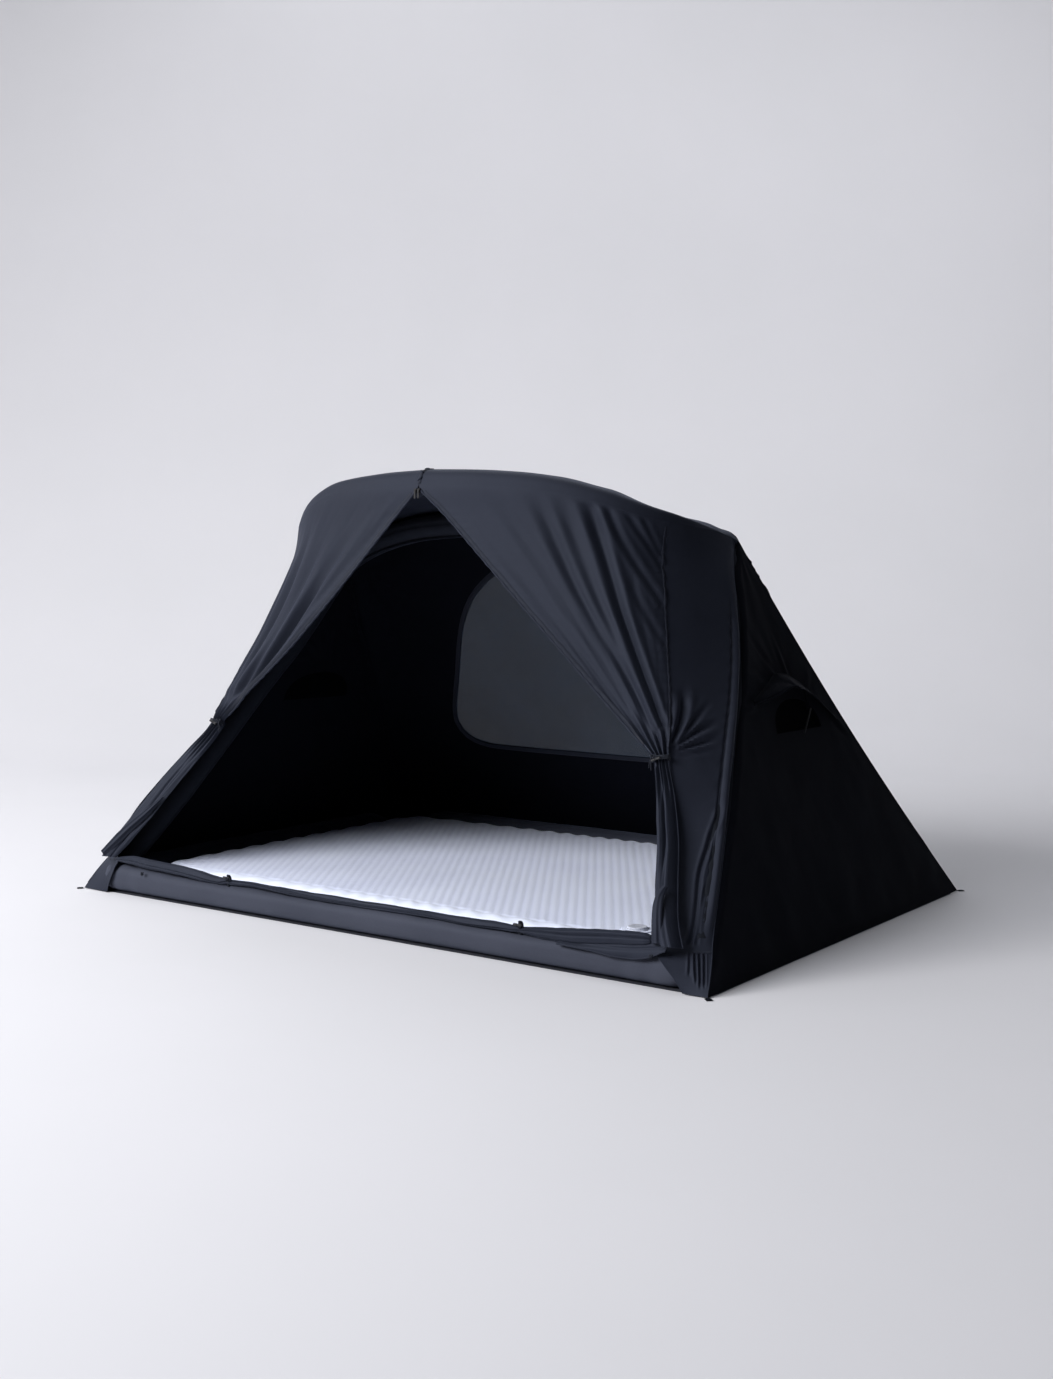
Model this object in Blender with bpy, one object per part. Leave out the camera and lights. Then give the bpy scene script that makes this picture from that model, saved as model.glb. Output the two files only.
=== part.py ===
"""Inflatable tent: air-beam frame, canopy of sewn panels, air mattress and fittings.

Units are metres, +Z up. The origin is the centre of the footprint on the ground,
the doorway faces -Y, and the tent is symmetric about the plane X = 0.
"""
import bpy
import bmesh
import math
import numpy as np
from mathutils import Vector

# ------------------------------------------------------------------ driving dimensions
TENT_W = 2.300            # footprint along X
TENT_D = 1.6352           # footprint along Y
HX, HY = TENT_W / 2, TENT_D / 2

SKIN = 0.003              # thickness of the canopy cloth solids
SEAM_GAP = 0.004          # each panel stops this far short of the seam line

FLOOR_T = 0.0020          # ground sheet
TUBE_W = 0.120            # base tube section, outward
TUBE_H = 0.088            # base tube section, upward
TUBE_Z0 = FLOOR_T + 0.0004
BASE_CX = 1.0640          # centre line of the side base tubes
BASE_CYF = 0.7496         # centre line of the front base tube (at -Y)
BASE_CYR = 0.6940         # centre line of the rear base tube
MITRE_GAP = 0.0003

ARCH_R = 0.0425           # main arch tube radius
VISOR_R = 0.0360          # visor arch tube radius

BED_W, BED_D, BED_H = 1.950, 1.310, 0.0814
BED_CY = -0.0260
BED_Z0 = FLOOR_T + 0.0004
BED_CORNER = 0.110

# skin lines of the right half (X > 0); the left half mirrors them
SHOULDER = (0.782, -0.006, 1.118)
TIE = (0.860, -0.520, 0.535)
REAR_SAG = (0.015, 0.013)            # inward sag of the rear edge, X and Y
ARCH_LINE = [(1.150, -0.8176, 0.0), (1.120, -0.730, 0.112), (1.053, -0.552, 0.317),
             (1.013, -0.449, 0.444), (0.972, -0.350, 0.578), (0.934, -0.260, 0.691),
             (0.895, -0.184, 0.810), (0.850, -0.118, 0.947), (0.820, -0.085, 1.031), SHOULDER]
ARCH_AXIS = [(1.0735, -0.7100, 0.0916), (1.0087, -0.5364, 0.2904), (0.9277, -0.3344, 0.5514),
             (0.8507, -0.1684, 0.7834), (0.804, -0.106, 0.921), (0.776, -0.070, 1.001),
             (0.742, -0.020, 1.078), (0.675, -0.004, 1.118), (0.568, -0.004, 1.145),
             (0.395, -0.005, 1.1660), (0.199, -0.005, 1.1780), (0.0, -0.005, 1.1815)]
CROWN_LINE = [SHOULDER, (0.70, 0.0, 1.160), (0.58, 0.0, 1.192), (0.40, 0.0, 1.216),
              (0.20, 0.0, 1.228), (0.0, 0.0, 1.232)]
CROWN_BACK = [SHOULDER, (0.740, 0.026, 1.141), (0.690, 0.0370, 1.1540), (0.568, 0.0380, 1.1780), (0.395, 0.0360, 1.1970),
              (0.199, 0.0360, 1.2090), (0.0, 0.0360, 1.2125)]
VISOR_LINE = [SHOULDER, (0.760, -0.10, 1.150), (0.715, -0.215, 1.183), (0.661, -0.285, 1.212),
              (0.55, -0.36, 1.262), (0.40, -0.41, 1.300), (0.20, -0.445, 1.320), (0.0, -0.46, 1.327)]
VISOR_AXIS = [(0.7350, -0.0770, 1.0945), (0.727, -0.106, 1.1035), (0.686, -0.206, 1.136),
              (0.634, -0.272, 1.166), (0.530, -0.352, 1.216), (0.388, -0.406, 1.254),
              (0.195, -0.446, 1.275), (0.0, -0.462, 1.282)]
SEAM_LINE = [(1.094, -0.8176, 0.003), (1.098, -0.815, 0.120), (1.000, -0.705, 0.300), TIE,
             (0.820, -0.4480, 0.6856), (0.779, -0.3930, 0.816), (0.743, -0.3450, 0.9496),
             (0.707, -0.2970, 1.0865)]
SEAM_HEAD = 5             # the door seam meets the brow at this point of its half outline

# the rear window, right half outline on the back wall, (x, z) from the top centre round to the bottom
WINDOW_HALF = [(0.0, 1.050), (0.13, 1.045), (0.235, 1.005), (0.345, 0.935), (0.425, 0.855),
               (0.487, 0.765), (0.545, 0.665), (0.600, 0.575), (0.640, 0.500), (0.648, 0.455),
               (0.622, 0.415), (0.560, 0.393), (0.450, 0.387), (0.220, 0.385), (0.0, 0.384)]

VENT_Y, VENT_Z = 0.065, 0.575         # centre of the lower edge of the vent opening in the side wall
VENT_W, VENT_H = 0.300, 0.095
HOOD_REACH = 0.050

VALVE_FLANGE_R = 0.031
VALVE_CUP_R = 0.0250
VALVE_BORE_R = 0.0180
VALVE_DEPTH = 0.0300
VALVE_CAP_R = 0.0265
MAT_VALVE = (0.8038, -0.5821)
FRAME_VALVE = (1.0640, 0.3500)

ROLL_R = 0.0150
ROLL_Y, ROLL_Z = -0.7800, 0.1085
ROLL_X = 0.965
SILL_LOOP_X = (-0.515, 0.572)

# ------------------------------------------------------------------ scene reset and materials
for ob in list(bpy.data.objects):
    bpy.data.objects.remove(ob, do_unlink=True)


def material(name, colour, roughness, metallic=0.0):
    mat = bpy.data.materials.new(name)
    mat.use_nodes = True
    node = mat.node_tree.nodes.get("Principled BSDF")
    node.inputs["Base Color"].default_value = (*colour, 1.0)
    node.inputs["Roughness"].default_value = roughness
    node.inputs["Metallic"].default_value = metallic
    mat.diffuse_color = (*colour, 1.0)
    return mat


CANOPY = (0.018, 0.020, 0.027)
TUBE_CLOTH = (0.026, 0.028, 0.037)
MESH_GREY = (0.050, 0.052, 0.056)
BED_BLUE = (0.46, 0.49, 0.60)
HARD_BLACK = (0.012, 0.012, 0.014)


# ------------------------------------------------------------------ geometry helpers
def place(name, verts, faces, colour, roughness=0.7, metallic=0.0, origin=(0, 0, 0), smooth=True):
    """Make one closed object whose faces point out, with its origin where it turns or stands."""
    o = Vector(origin)
    me = bpy.data.meshes.new(name)
    me.from_pydata([tuple(Vector(v) - o) for v in verts], [], [tuple(f) for f in faces])
    bm = bmesh.new()
    bm.from_mesh(me)
    bmesh.ops.recalc_face_normals(bm, faces=bm.faces)
    if bm.calc_volume(signed=True) < 0:
        bmesh.ops.reverse_faces(bm, faces=bm.faces)
    bm.to_mesh(me)
    bm.free()
    if smooth:
        me.shade_smooth()
        me.set_sharp_from_angle(angle=math.radians(40))
    ob = bpy.data.objects.new(name, me)
    ob.location = o
    ob.data.materials.append(material(name + "_material", colour, roughness, metallic))
    bpy.context.scene.collection.objects.link(ob)
    return ob


def spline(points, count):
    """Smooth curve through the points (centripetal), returned at equal steps of its length."""
    p = np.array(points, float)
    p = np.vstack([2 * p[0] - p[1], p, 2 * p[-1] - p[-2]])
    out = []
    for i in range(1, len(p) - 2):
        p0, p1, p2, p3 = p[i - 1:i + 3]
        t0 = 0.0
        t1 = t0 + np.linalg.norm(p1 - p0) ** 0.5
        t2 = t1 + np.linalg.norm(p2 - p1) ** 0.5
        t3 = t2 + np.linalg.norm(p3 - p2) ** 0.5
        for t in np.linspace(t1, t2, 24, endpoint=False):
            a1 = (t1 - t) / (t1 - t0) * p0 + (t - t0) / (t1 - t0) * p1
            a2 = (t2 - t) / (t2 - t1) * p1 + (t - t1) / (t2 - t1) * p2
            a3 = (t3 - t) / (t3 - t2) * p2 + (t - t2) / (t3 - t2) * p3
            b1 = (t2 - t) / (t2 - t0) * a1 + (t - t0) / (t2 - t0) * a2
            b2 = (t3 - t) / (t3 - t1) * a2 + (t - t1) / (t3 - t1) * a3
            out.append((t2 - t) / (t2 - t1) * b1 + (t - t1) / (t2 - t1) * b2)
    out.append(p[-2])
    out = np.array(out)
    s = np.r_[0, np.cumsum(np.linalg.norm(np.diff(out, axis=0), axis=1))]
    u = np.linspace(0, s[-1], count)
    return np.stack([np.interp(u, s, out[:, j]) for j in range(3)], 1)


def mirror(points, side):
    p = np.array(points, float).copy()
    p[..., 0] *= side
    return p


def whole(half):
    """A half curve that ends on X = 0, continued by its mirror image: right end to left end."""
    h = np.array(half, float)
    return np.vstack([h, mirror(h, -1)[::-1][1:]])


def grid_normals(g):
    du = np.gradient(g, axis=0)
    dv = np.gradient(g, axis=1)
    n = np.cross(du, dv)
    length = np.linalg.norm(n, axis=2, keepdims=True)
    n = n / np.maximum(length, 1e-9)
    return n


def sheet(name, outer, thickness, toward, colour, **kw):
    """A closed cloth panel: the outer surface grid, and the same grid set in by the thickness
    on the side of the point `toward`."""
    g = np.array(outer, float)
    n = grid_normals(g)
    c = g.reshape(-1, 3).mean(0)
    if np.dot(np.array(toward) - c, n.reshape(-1, 3).mean(0)) < 0:
        n = -n
    inner = g + n * thickness
    r, k = g.shape[:2]
    verts = np.vstack([g.reshape(-1, 3), inner.reshape(-1, 3)])
    faces = []
    for i in range(r - 1):
        for j in range(k - 1):
            a = i * k + j
            faces.append((a, a + 1, a + k + 1, a + k))
            b = a + r * k
            faces.append((b, b + k, b + k + 1, b + 1))
    rim = [j for j in range(k)] + [i * k + k - 1 for i in range(1, r)] \
        + [(r - 1) * k + j for j in range(k - 2, -1, -1)] + [i * k for i in range(r - 2, 0, -1)]
    for a, b in zip(rim, rim[1:] + rim[:1]):
        faces.append((b, a, a + r * k, b + r * k))
    return place(name, verts, faces, colour, **kw)


def sweep(name, path, radius, sides, colour, flat_start=None, squash=None, **kw):
    """A round tube along a path, with plane end caps. flat_start sets the height of a level foot."""
    p = np.array(path, float)
    n = len(p)
    tang = np.gradient(p, axis=0)
    tang /= np.linalg.norm(tang, axis=1, keepdims=True)
    ref = np.array([0.0, 0.0, 1.0]) if abs(tang[0][2]) < 0.9 else np.array([0.0, 1.0, 0.0])
    a = np.cross(tang[0], ref)
    a /= np.linalg.norm(a)
    verts = []
    radii = np.broadcast_to(np.asarray(radius, float), (n,))
    for i in range(n):
        a = a - tang[i] * np.dot(a, tang[i])
        a /= np.linalg.norm(a)
        b = np.cross(tang[i], a)
        for k in range(sides):
            w = 2 * math.pi * k / sides
            q = p[i] + radii[i] * (math.cos(w) * a + math.sin(w) * b)
            if flat_start is not None and i in (0, n - 1):
                q = q + tang[i] * (flat_start - q[2]) / tang[i][2]
            verts.append(q)
    faces = []
    for i in range(n - 1):
        for k in range(sides):
            k2 = (k + 1) % sides
            faces.append((i * sides + k, i * sides + k2, (i + 1) * sides + k2, (i + 1) * sides + k))
    faces.append(tuple(range(sides))[::-1])
    faces.append(tuple((n - 1) * sides + k for k in range(sides)))
    return place(name, verts, faces, colour, **kw)


def turned(name, profile, centre, segments, colour, axis_dir=(0, 0, 1), **kw):
    """A solid of revolution: the closed profile is (radius, height) pairs; radius 0 ends close on the axis."""
    verts, faces, rings = [], [], []
    z = Vector(axis_dir).normalized()
    x = z.orthogonal().normalized()
    if abs(z.z) > 0.99:
        x = Vector((1, 0, 0))
    y = z.cross(x)
    c = Vector(centre)
    for r, h in profile:
        if r < 1e-9:
            rings.append([len(verts)])
            verts.append(c + z * h)
        else:
            rings.append(list(range(len(verts), len(verts) + segments)))
            for k in range(segments):
                w = 2 * math.pi * k / segments
                verts.append(c + z * h + (x * math.cos(w) + y * math.sin(w)) * r)
    closed = profile[0][0] > 1e-9
    pairs = list(zip(rings, rings[1:])) + ([(rings[-1], rings[0])] if closed else [])
    for ra, rb in pairs:
        for k in range(segments):
            k2 = (k + 1) % segments
            if len(ra) == 1 and len(rb) > 1:
                faces.append((ra[0], rb[k], rb[k2]))
            elif len(rb) == 1 and len(ra) > 1:
                faces.append((ra[k], rb[0], ra[k2]))
            elif len(ra) > 1:
                faces.append((ra[k], rb[k], rb[k2], ra[k2]))
    return place(name, [tuple(v) for v in verts], faces, colour, **kw)


def prism(name, outline, axes, centre, half, colour, **kw):
    """A flat plate: outline (u, v) points in the plane of two unit axes, half the thickness each way."""
    u, v = Vector(axes[0]).normalized(), Vector(axes[1]).normalized()
    w = u.cross(v)
    c = Vector(centre)
    n = len(outline)
    verts = [c + u * a + v * b - w * half for a, b in outline] + [c + u * a + v * b + w * half for a, b in outline]
    faces = [tuple(range(n))[::-1], tuple(range(n, 2 * n))]
    for i in range(n):
        j = (i + 1) % n
        faces.append((i, j, n + j, n + i))
    return place(name, [tuple(p) for p in verts], faces, colour, **kw)


def rounded_rect(w, h, r, steps=4):
    pts = []
    for cx, cy, a0 in ((w / 2 - r, h / 2 - r, 0), (-w / 2 + r, h / 2 - r, 90),
                       (-w / 2 + r, -h / 2 + r, 180), (w / 2 - r, -h / 2 + r, 270)):
        for i in range(steps + 1):
            a = math.radians(a0 + 90 * i / steps)
            pts.append((cx + r * math.cos(a), cy + r * math.sin(a)))
    return pts


def cut(ob, cutter):
    mod = ob.modifiers.new("opening_" + cutter.name, 'BOOLEAN')
    mod.operation = 'DIFFERENCE'
    mod.object = cutter
    mod.solver = 'EXACT'
    cutter.hide_render = True
    cutter.display_type = 'WIRE'


# ------------------------------------------------------------------ ground sheet
c = 0.030
floor_outline = [(HX - c, -HY), (HX, -HY + c), (HX, HY - c), (HX - c, HY),
                 (-HX + c, HY), (-HX, HY - c), (-HX, -HY + c), (-HX + c, -HY)]
prism("floor_sheet", floor_outline, ((1, 0, 0), (0, 1, 0)), (0, 0, FLOOR_T / 2), FLOOR_T / 2,
      TUBE_CLOTH, roughness=0.75, smooth=False)

# ------------------------------------------------------------------ base ring
section = []
for k in range(20):
    w = 2 * math.pi * k / 20
    e = 2 / 3.0
    su = math.copysign(abs(math.cos(w)) ** e, math.cos(w)) * TUBE_W / 2
    sv = math.copysign(abs(math.sin(w)) ** e, math.sin(w)) * TUBE_H / 2
    section.append((su, sv))


PUCKER = 0.075            # the tube narrows over this length towards each mitred corner


def base_tube(name, along, at):
    """A base tube between two mitred corners. along(u) gives the two end positions along the tube for
    a section offset u outward; at(s, u) turns a position along it and an offset into X and Y."""
    zc = TUBE_Z0 + TUBE_H / 2
    m = len(section)
    verts = []
    for k in range(4):
        for u, v in section:
            narrow = k in (0, 3)
            uu = u * (0.45 if u > 0 else 1.0) if narrow else u
            vv = (v + TUBE_H / 2) * 0.97 - TUBE_H / 2 if narrow else v
            lo, hi = along(uu)
            s = (lo, lo + PUCKER, hi - PUCKER, hi)[k]
            verts.append((*at(s, uu), zc + vv))
    faces = [tuple(range(m)), tuple(range(3 * m, 4 * m))[::-1]]
    for k in range(3):
        for i in range(m):
            j = (i + 1) % m
            faces.append((k * m + i, (k + 1) * m + i, (k + 1) * m + j, k * m + j))
    return place(name, verts, faces, TUBE_CLOTH, 0.6)


G = MITRE_GAP
base_tube("base_tube_front", lambda u: (-(BASE_CX + u) + G, BASE_CX + u - G), lambda s, u: (s, -(BASE_CYF + u)))
base_tube("base_tube_rear", lambda u: (-(BASE_CX + u) + G, BASE_CX + u - G), lambda s, u: (s, BASE_CYR + u))
base_tube("base_tube_right", lambda u: (-(BASE_CYF + u) + G, BASE_CYR + u - G), lambda s, u: (BASE_CX + u, s))
base_tube("base_tube_left", lambda u: (-(BASE_CYF + u) + G, BASE_CYR + u - G), lambda s, u: (-(BASE_CX + u), s))

# ------------------------------------------------------------------ arches
sweep("main_arch_tube", whole(spline(ARCH_AXIS, 27)), ARCH_R, 12, TUBE_CLOTH,
      flat_start=TUBE_Z0 + TUBE_H + 0.0006, roughness=0.6)
sweep("visor_arch_tube", whole(spline(VISOR_AXIS, 18)), VISOR_R, 12, TUBE_CLOTH, roughness=0.6)

# ------------------------------------------------------------------ mattress with a round recess for its valve
rings = []
for inset, z in ((0.030, 0.0), (0.008, 0.008), (0.0, 0.030), (0.0, BED_H - 0.032), (0.008, BED_H - 0.009), (0.030, BED_H)):
    r = max(BED_CORNER - inset, 0.01)
    rings.append([(x, y + BED_CY, z + BED_Z0) for x, y in
                  rounded_rect(BED_W - 2 * inset, BED_D - 2 * inset, r, 5)])
m = len(rings[0])
verts = [v for ring in rings for v in ring]
faces = [tuple(range(m))[::-1], tuple((len(rings) - 1) * m + i for i in range(m))]
for a in range(len(rings) - 1):
    for i in range(m):
        j = (i + 1) % m
        faces.append((a * m + i, a * m + j, (a + 1) * m + j, (a + 1) * m + i))
mattress = place("mattress", verts, faces, BED_BLUE, 0.85)
BED_TOP = BED_Z0 + BED_H


def recess(ob, centre, top):
    bpy_cutter = turned("recess_" + ob.name, [(0, -VALVE_DEPTH - 0.0006), (VALVE_CUP_R + 0.0006, -VALVE_DEPTH - 0.0006),
                                              (VALVE_CUP_R + 0.0006, 0.02), (0, 0.02)], (*centre, top), 24, HARD_BLACK)
    cut(ob, bpy_cutter)


recess(mattress, MAT_VALVE, BED_TOP)
recess(bpy.data.objects["base_tube_right"], FRAME_VALVE, TUBE_Z0 + TUBE_H)


def valve(prefix, centre, top, hinge_side):
    """Flanged cup, push button that opens the air way, and a hinged cap over it."""
    base = (*centre, top)
    turned(prefix + "_body", [
        (VALVE_CUP_R, -VALVE_DEPTH), (VALVE_CUP_R, 0.0008), (VALVE_FLANGE_R, 0.0008), (VALVE_FLANGE_R - 0.0008, 0.0034),
        (VALVE_BORE_R, 0.0034), (VALVE_BORE_R, -VALVE_DEPTH + 0.004), (0.0105, -VALVE_DEPTH + 0.004),
        (0.0105, -VALVE_DEPTH)], base, 24, HARD_BLACK, roughness=0.45)
    turned(prefix + "_plunger", [
        (0, -VALVE_DEPTH + 0.0085), (0.0085, -VALVE_DEPTH + 0.0085), (0.0125, -VALVE_DEPTH + 0.0085), (0.0125, -VALVE_DEPTH + 0.0105),
        (0.0060, -VALVE_DEPTH + 0.0120), (0.0060, -VALVE_DEPTH + 0.0150), (0, -VALVE_DEPTH + 0.0155)],
        base, 20, (0.35, 0.36, 0.38), roughness=0.5, origin=(centre[0], centre[1], top - VALVE_DEPTH + 0.0085))
    hx, hy = hinge_side
    pin = (centre[0] + hx * 0.0295, centre[1] + hy * 0.0295, top + 0.0060)
    cap = turned(prefix + "_cap", [
        (0, -0.0030), (0.0150, -0.0030), (0.0165, -0.0010), (0.0165, 0.0038), (VALVE_CAP_R, 0.0038), (VALVE_CAP_R, 0.0070),
        (VALVE_CAP_R - 0.0015, 0.0085), (0, 0.0085)], base, 24, HARD_BLACK, roughness=0.45, origin=pin)
    return cap


valve("mattress_valve", MAT_VALVE, BED_TOP, (0, 1))
valve("frame_valve", FRAME_VALVE, TUBE_Z0 + TUBE_H, (0, 1))

# ------------------------------------------------------------------ canopy lines
def rear_line(count):
    p = np.linspace(0, 1, count)[:, None]
    q = np.array([HX, HY, 0.0]) * (1 - p) + np.array(SHOULDER) * p
    s = np.sin(np.pi * p[:, 0])
    q[:, 0] -= s * REAR_SAG[0]
    q[:, 1] -= s * REAR_SAG[1]
    return q


def smoothstep(t):
    t = np.clip(t, 0, 1)
    return t * t * (3 - 2 * t)


visor_half = spline(VISOR_LINE, 19)


def brow_of(line):
    """The front edge of the brow: out and down from the visor's top line, nothing at the shoulder."""
    tangent = np.gradient(line, axis=0)
    out = np.stack([-tangent[:, 1], tangent[:, 0], np.zeros(len(line))], 1)
    out /= np.linalg.norm(out, axis=1, keepdims=True)
    out[out[:, 1] > 0] *= -1
    along = np.r_[0, np.cumsum(np.linalg.norm(np.diff(line, axis=0), axis=1))]
    w = smoothstep(along / along[-1] / 0.42)[:, None]
    return line + w * (out * 0.050 + np.array([0, 0, -0.043]))


brow_half = brow_of(visor_half)
brow_half[-1, 0] = 0.0
crown_half = spline(CROWN_LINE, 19)
back_half = spline(CROWN_BACK, 19)
visor, brow, crown, crown_back = whole(visor_half), whole(brow_half), whole(crown_half), whole(back_half)

# roof: wraps over the visor from the brow, then runs back over the main arch
w = smoothstep(np.linalg.norm(visor - brow, axis=1) / 0.05)[:, None]
front_out = brow - visor
front_out[:, 2] = 0
rows = [brow, (brow + visor) / 2 + w * (front_out * 0.22 + np.array([0, 0, 0.010])), visor]
for t in (0.25, 0.5, 0.75, 1.0):
    rows.append(visor * (1 - t) + crown * t - np.array([0, 0, 0.006]) * math.sin(math.pi * t))
rows.append((crown + crown_back) / 2 + np.array([0, 0.003, 0.005]) * np.clip((0.782 - np.abs(crown[:, 0])) / 0.15, 0, 1)[:, None])
rows.append(crown_back + np.array([0, -0.002, 0.003]))
roof = np.array(rows)[:, 1:-1]
sheet("roof_panel", roof, SKIN, (0, -0.3, 0.5), CANOPY)

# back wall: ruled between the ground line and the line where it leaves the main arch
BACK_Z0 = 0.0050
NB = 17
us = np.linspace(-1, 1, NB)
wall = []
rear = rear_line(30)
for t in np.linspace(0.0, 1.0, 10):
    row = []
    for u in us:
        xt = u * (SHOULDER[0] - 0.006)
        zt = np.interp(abs(xt), back_half[::-1, 0], back_half[::-1, 2]) - 0.004
        yt = np.interp(abs(xt), back_half[::-1, 0], back_half[::-1, 1]) + 0.002
        zb = BACK_Z0
        xb = u * (HX - 0.006)
        x = xb * (1 - t) + xt * t
        z = zb * (1 - t) + zt * t
        y = (HY - 0.0045) * (1 - t) + yt * t
        edge = math.sin(math.pi * t) * abs(u) ** 6
        row.append((x - math.copysign(REAR_SAG[0], u) * edge, y - REAR_SAG[1] * edge, z))
    wall.append(row)
back_wall = sheet("back_wall", np.array(wall), SKIN, (0, 0, 0.4), CANOPY)

half = spline([(x, 0.0, z) for x, z in WINDOW_HALF], 22)
outline = [(x, z) for x, _, z in half] + [(-x, z) for x, _, z in half[::-1][1:-1]]
zc = 0.68


def scaled(off):
    """Window outline grown by off."""
    p = np.array(outline)
    nxt, prv = np.roll(p, -1, 0), np.roll(p, 1, 0)
    tg = nxt - prv
    nrm = np.stack([-tg[:, 1], tg[:, 0]], 1)
    nrm /= np.linalg.norm(nrm, axis=1, keepdims=True)
    ctr = np.array([0, zc])
    sign = np.sign(((p - ctr) * nrm).sum(1, keepdims=True))
    return p + nrm * sign * off


cutter_pts = scaled(0.0)
n = len(cutter_pts)
verts = [(x, -0.2, z) for x, z in cutter_pts] + [(x, 0.9, z) for x, z in cutter_pts]
faces = [tuple(range(n)), tuple(range(n, 2 * n))[::-1]] + [(i, (i + 1) % n, n + (i + 1) % n, n + i) for i in range(n)]
cut(back_wall, place("window_cutter", verts, faces, MESH_GREY))


def back_grid(x, z):
    """The outer face of the back wall at a given x and height."""
    t = 0.5
    for _ in range(20):
        u = x / ((HX - 0.006) * (1 - t) + (SHOULDER[0] - 0.006) * t)
        xt = abs(u) * (SHOULDER[0] - 0.006)
        zt = np.interp(xt, back_half[::-1, 0], back_half[::-1, 2]) - 0.004
        t = (z - BACK_Z0) / (zt - BACK_Z0)
    yt = np.interp(xt, back_half[::-1, 0], back_half[::-1, 1]) + 0.002
    return (HY - 0.0045) * (1 - t) + yt * t


def patch(name, outer_pts, inner_scales, offset, thick, colour, **kw):
    """A thin cloth disc that follows the back wall inside an outline."""
    pts = np.array(outer_pts)
    ctr = np.array([0, zc])
    verts, faces, k = [], [], len(pts)
    for side in (0, 1):
        for s in inner_scales:
            for q in ctr + (pts - ctr) * s:
                verts.append((q[0], back_grid(q[0], q[1]) + offset - side * thick, q[1]))
        verts.append((0.0, back_grid(0.0, zc) + offset - side * thick, zc))
    per = len(inner_scales) * k + 1
    for side in (0, 1):
        b = side * per
        for a in range(len(inner_scales) - 1):
            for i in range(k):
                j = (i + 1) % k
                f = (b + a * k + i, b + a * k + j, b + (a + 1) * k + j, b + (a + 1) * k + i)
                faces.append(f if side else f[::-1])
        for i in range(k):
            j = (i + 1) % k
            f = (b + (len(inner_scales) - 1) * k + i, b + (len(inner_scales) - 1) * k + j, b + per - 1)
            faces.append(f if side else f[::-1])
    for i in range(k):
        j = (i + 1) % k
        faces.append((i, j, per + j, per + i))
    return place(name, verts, faces, colour, **kw)


patch("window_mesh", scaled(-0.0006), (1.0, 0.66, 0.33), -0.0008, 0.0012, MESH_GREY, roughness=0.9)

inner_b, outer_b = scaled(0.001), scaled(0.017)
verts = []
for pts, off in ((inner_b, 0.0020), (outer_b, 0.0020), (outer_b, 0.0036), (inner_b, 0.0036)):
    for x, z in pts:
        verts.append((x, back_grid(x, z) + off, z))
faces = []
for a in range(4):
    b = (a + 1) % 4
    for i in range(n):
        j = (i + 1) % n
        faces.append((a * n + i, a * n + j, b * n + j, b * n + i))
place("window_binding", verts, faces, HARD_BLACK, 0.6)

# ------------------------------------------------------------------ side walls, front panels, doors, vents
arch_skin = spline(ARCH_LINE, 30)
seam_upper = spline(SEAM_LINE, 30)


def at_height(curve, z):
    zz = curve[:, 2]
    order = np.argsort(zz)
    return np.array([np.interp(z, zz[order], curve[order][:, j]) for j in range(3)])


SIDE_N = np.array([1.118, 0.0, 0.368]) / math.hypot(1.118, 0.368)   # outward normal of the right side wall


def side_plane_x(z, off=0.0):
    return HX - 0.368 / 1.118 * z + off


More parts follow.
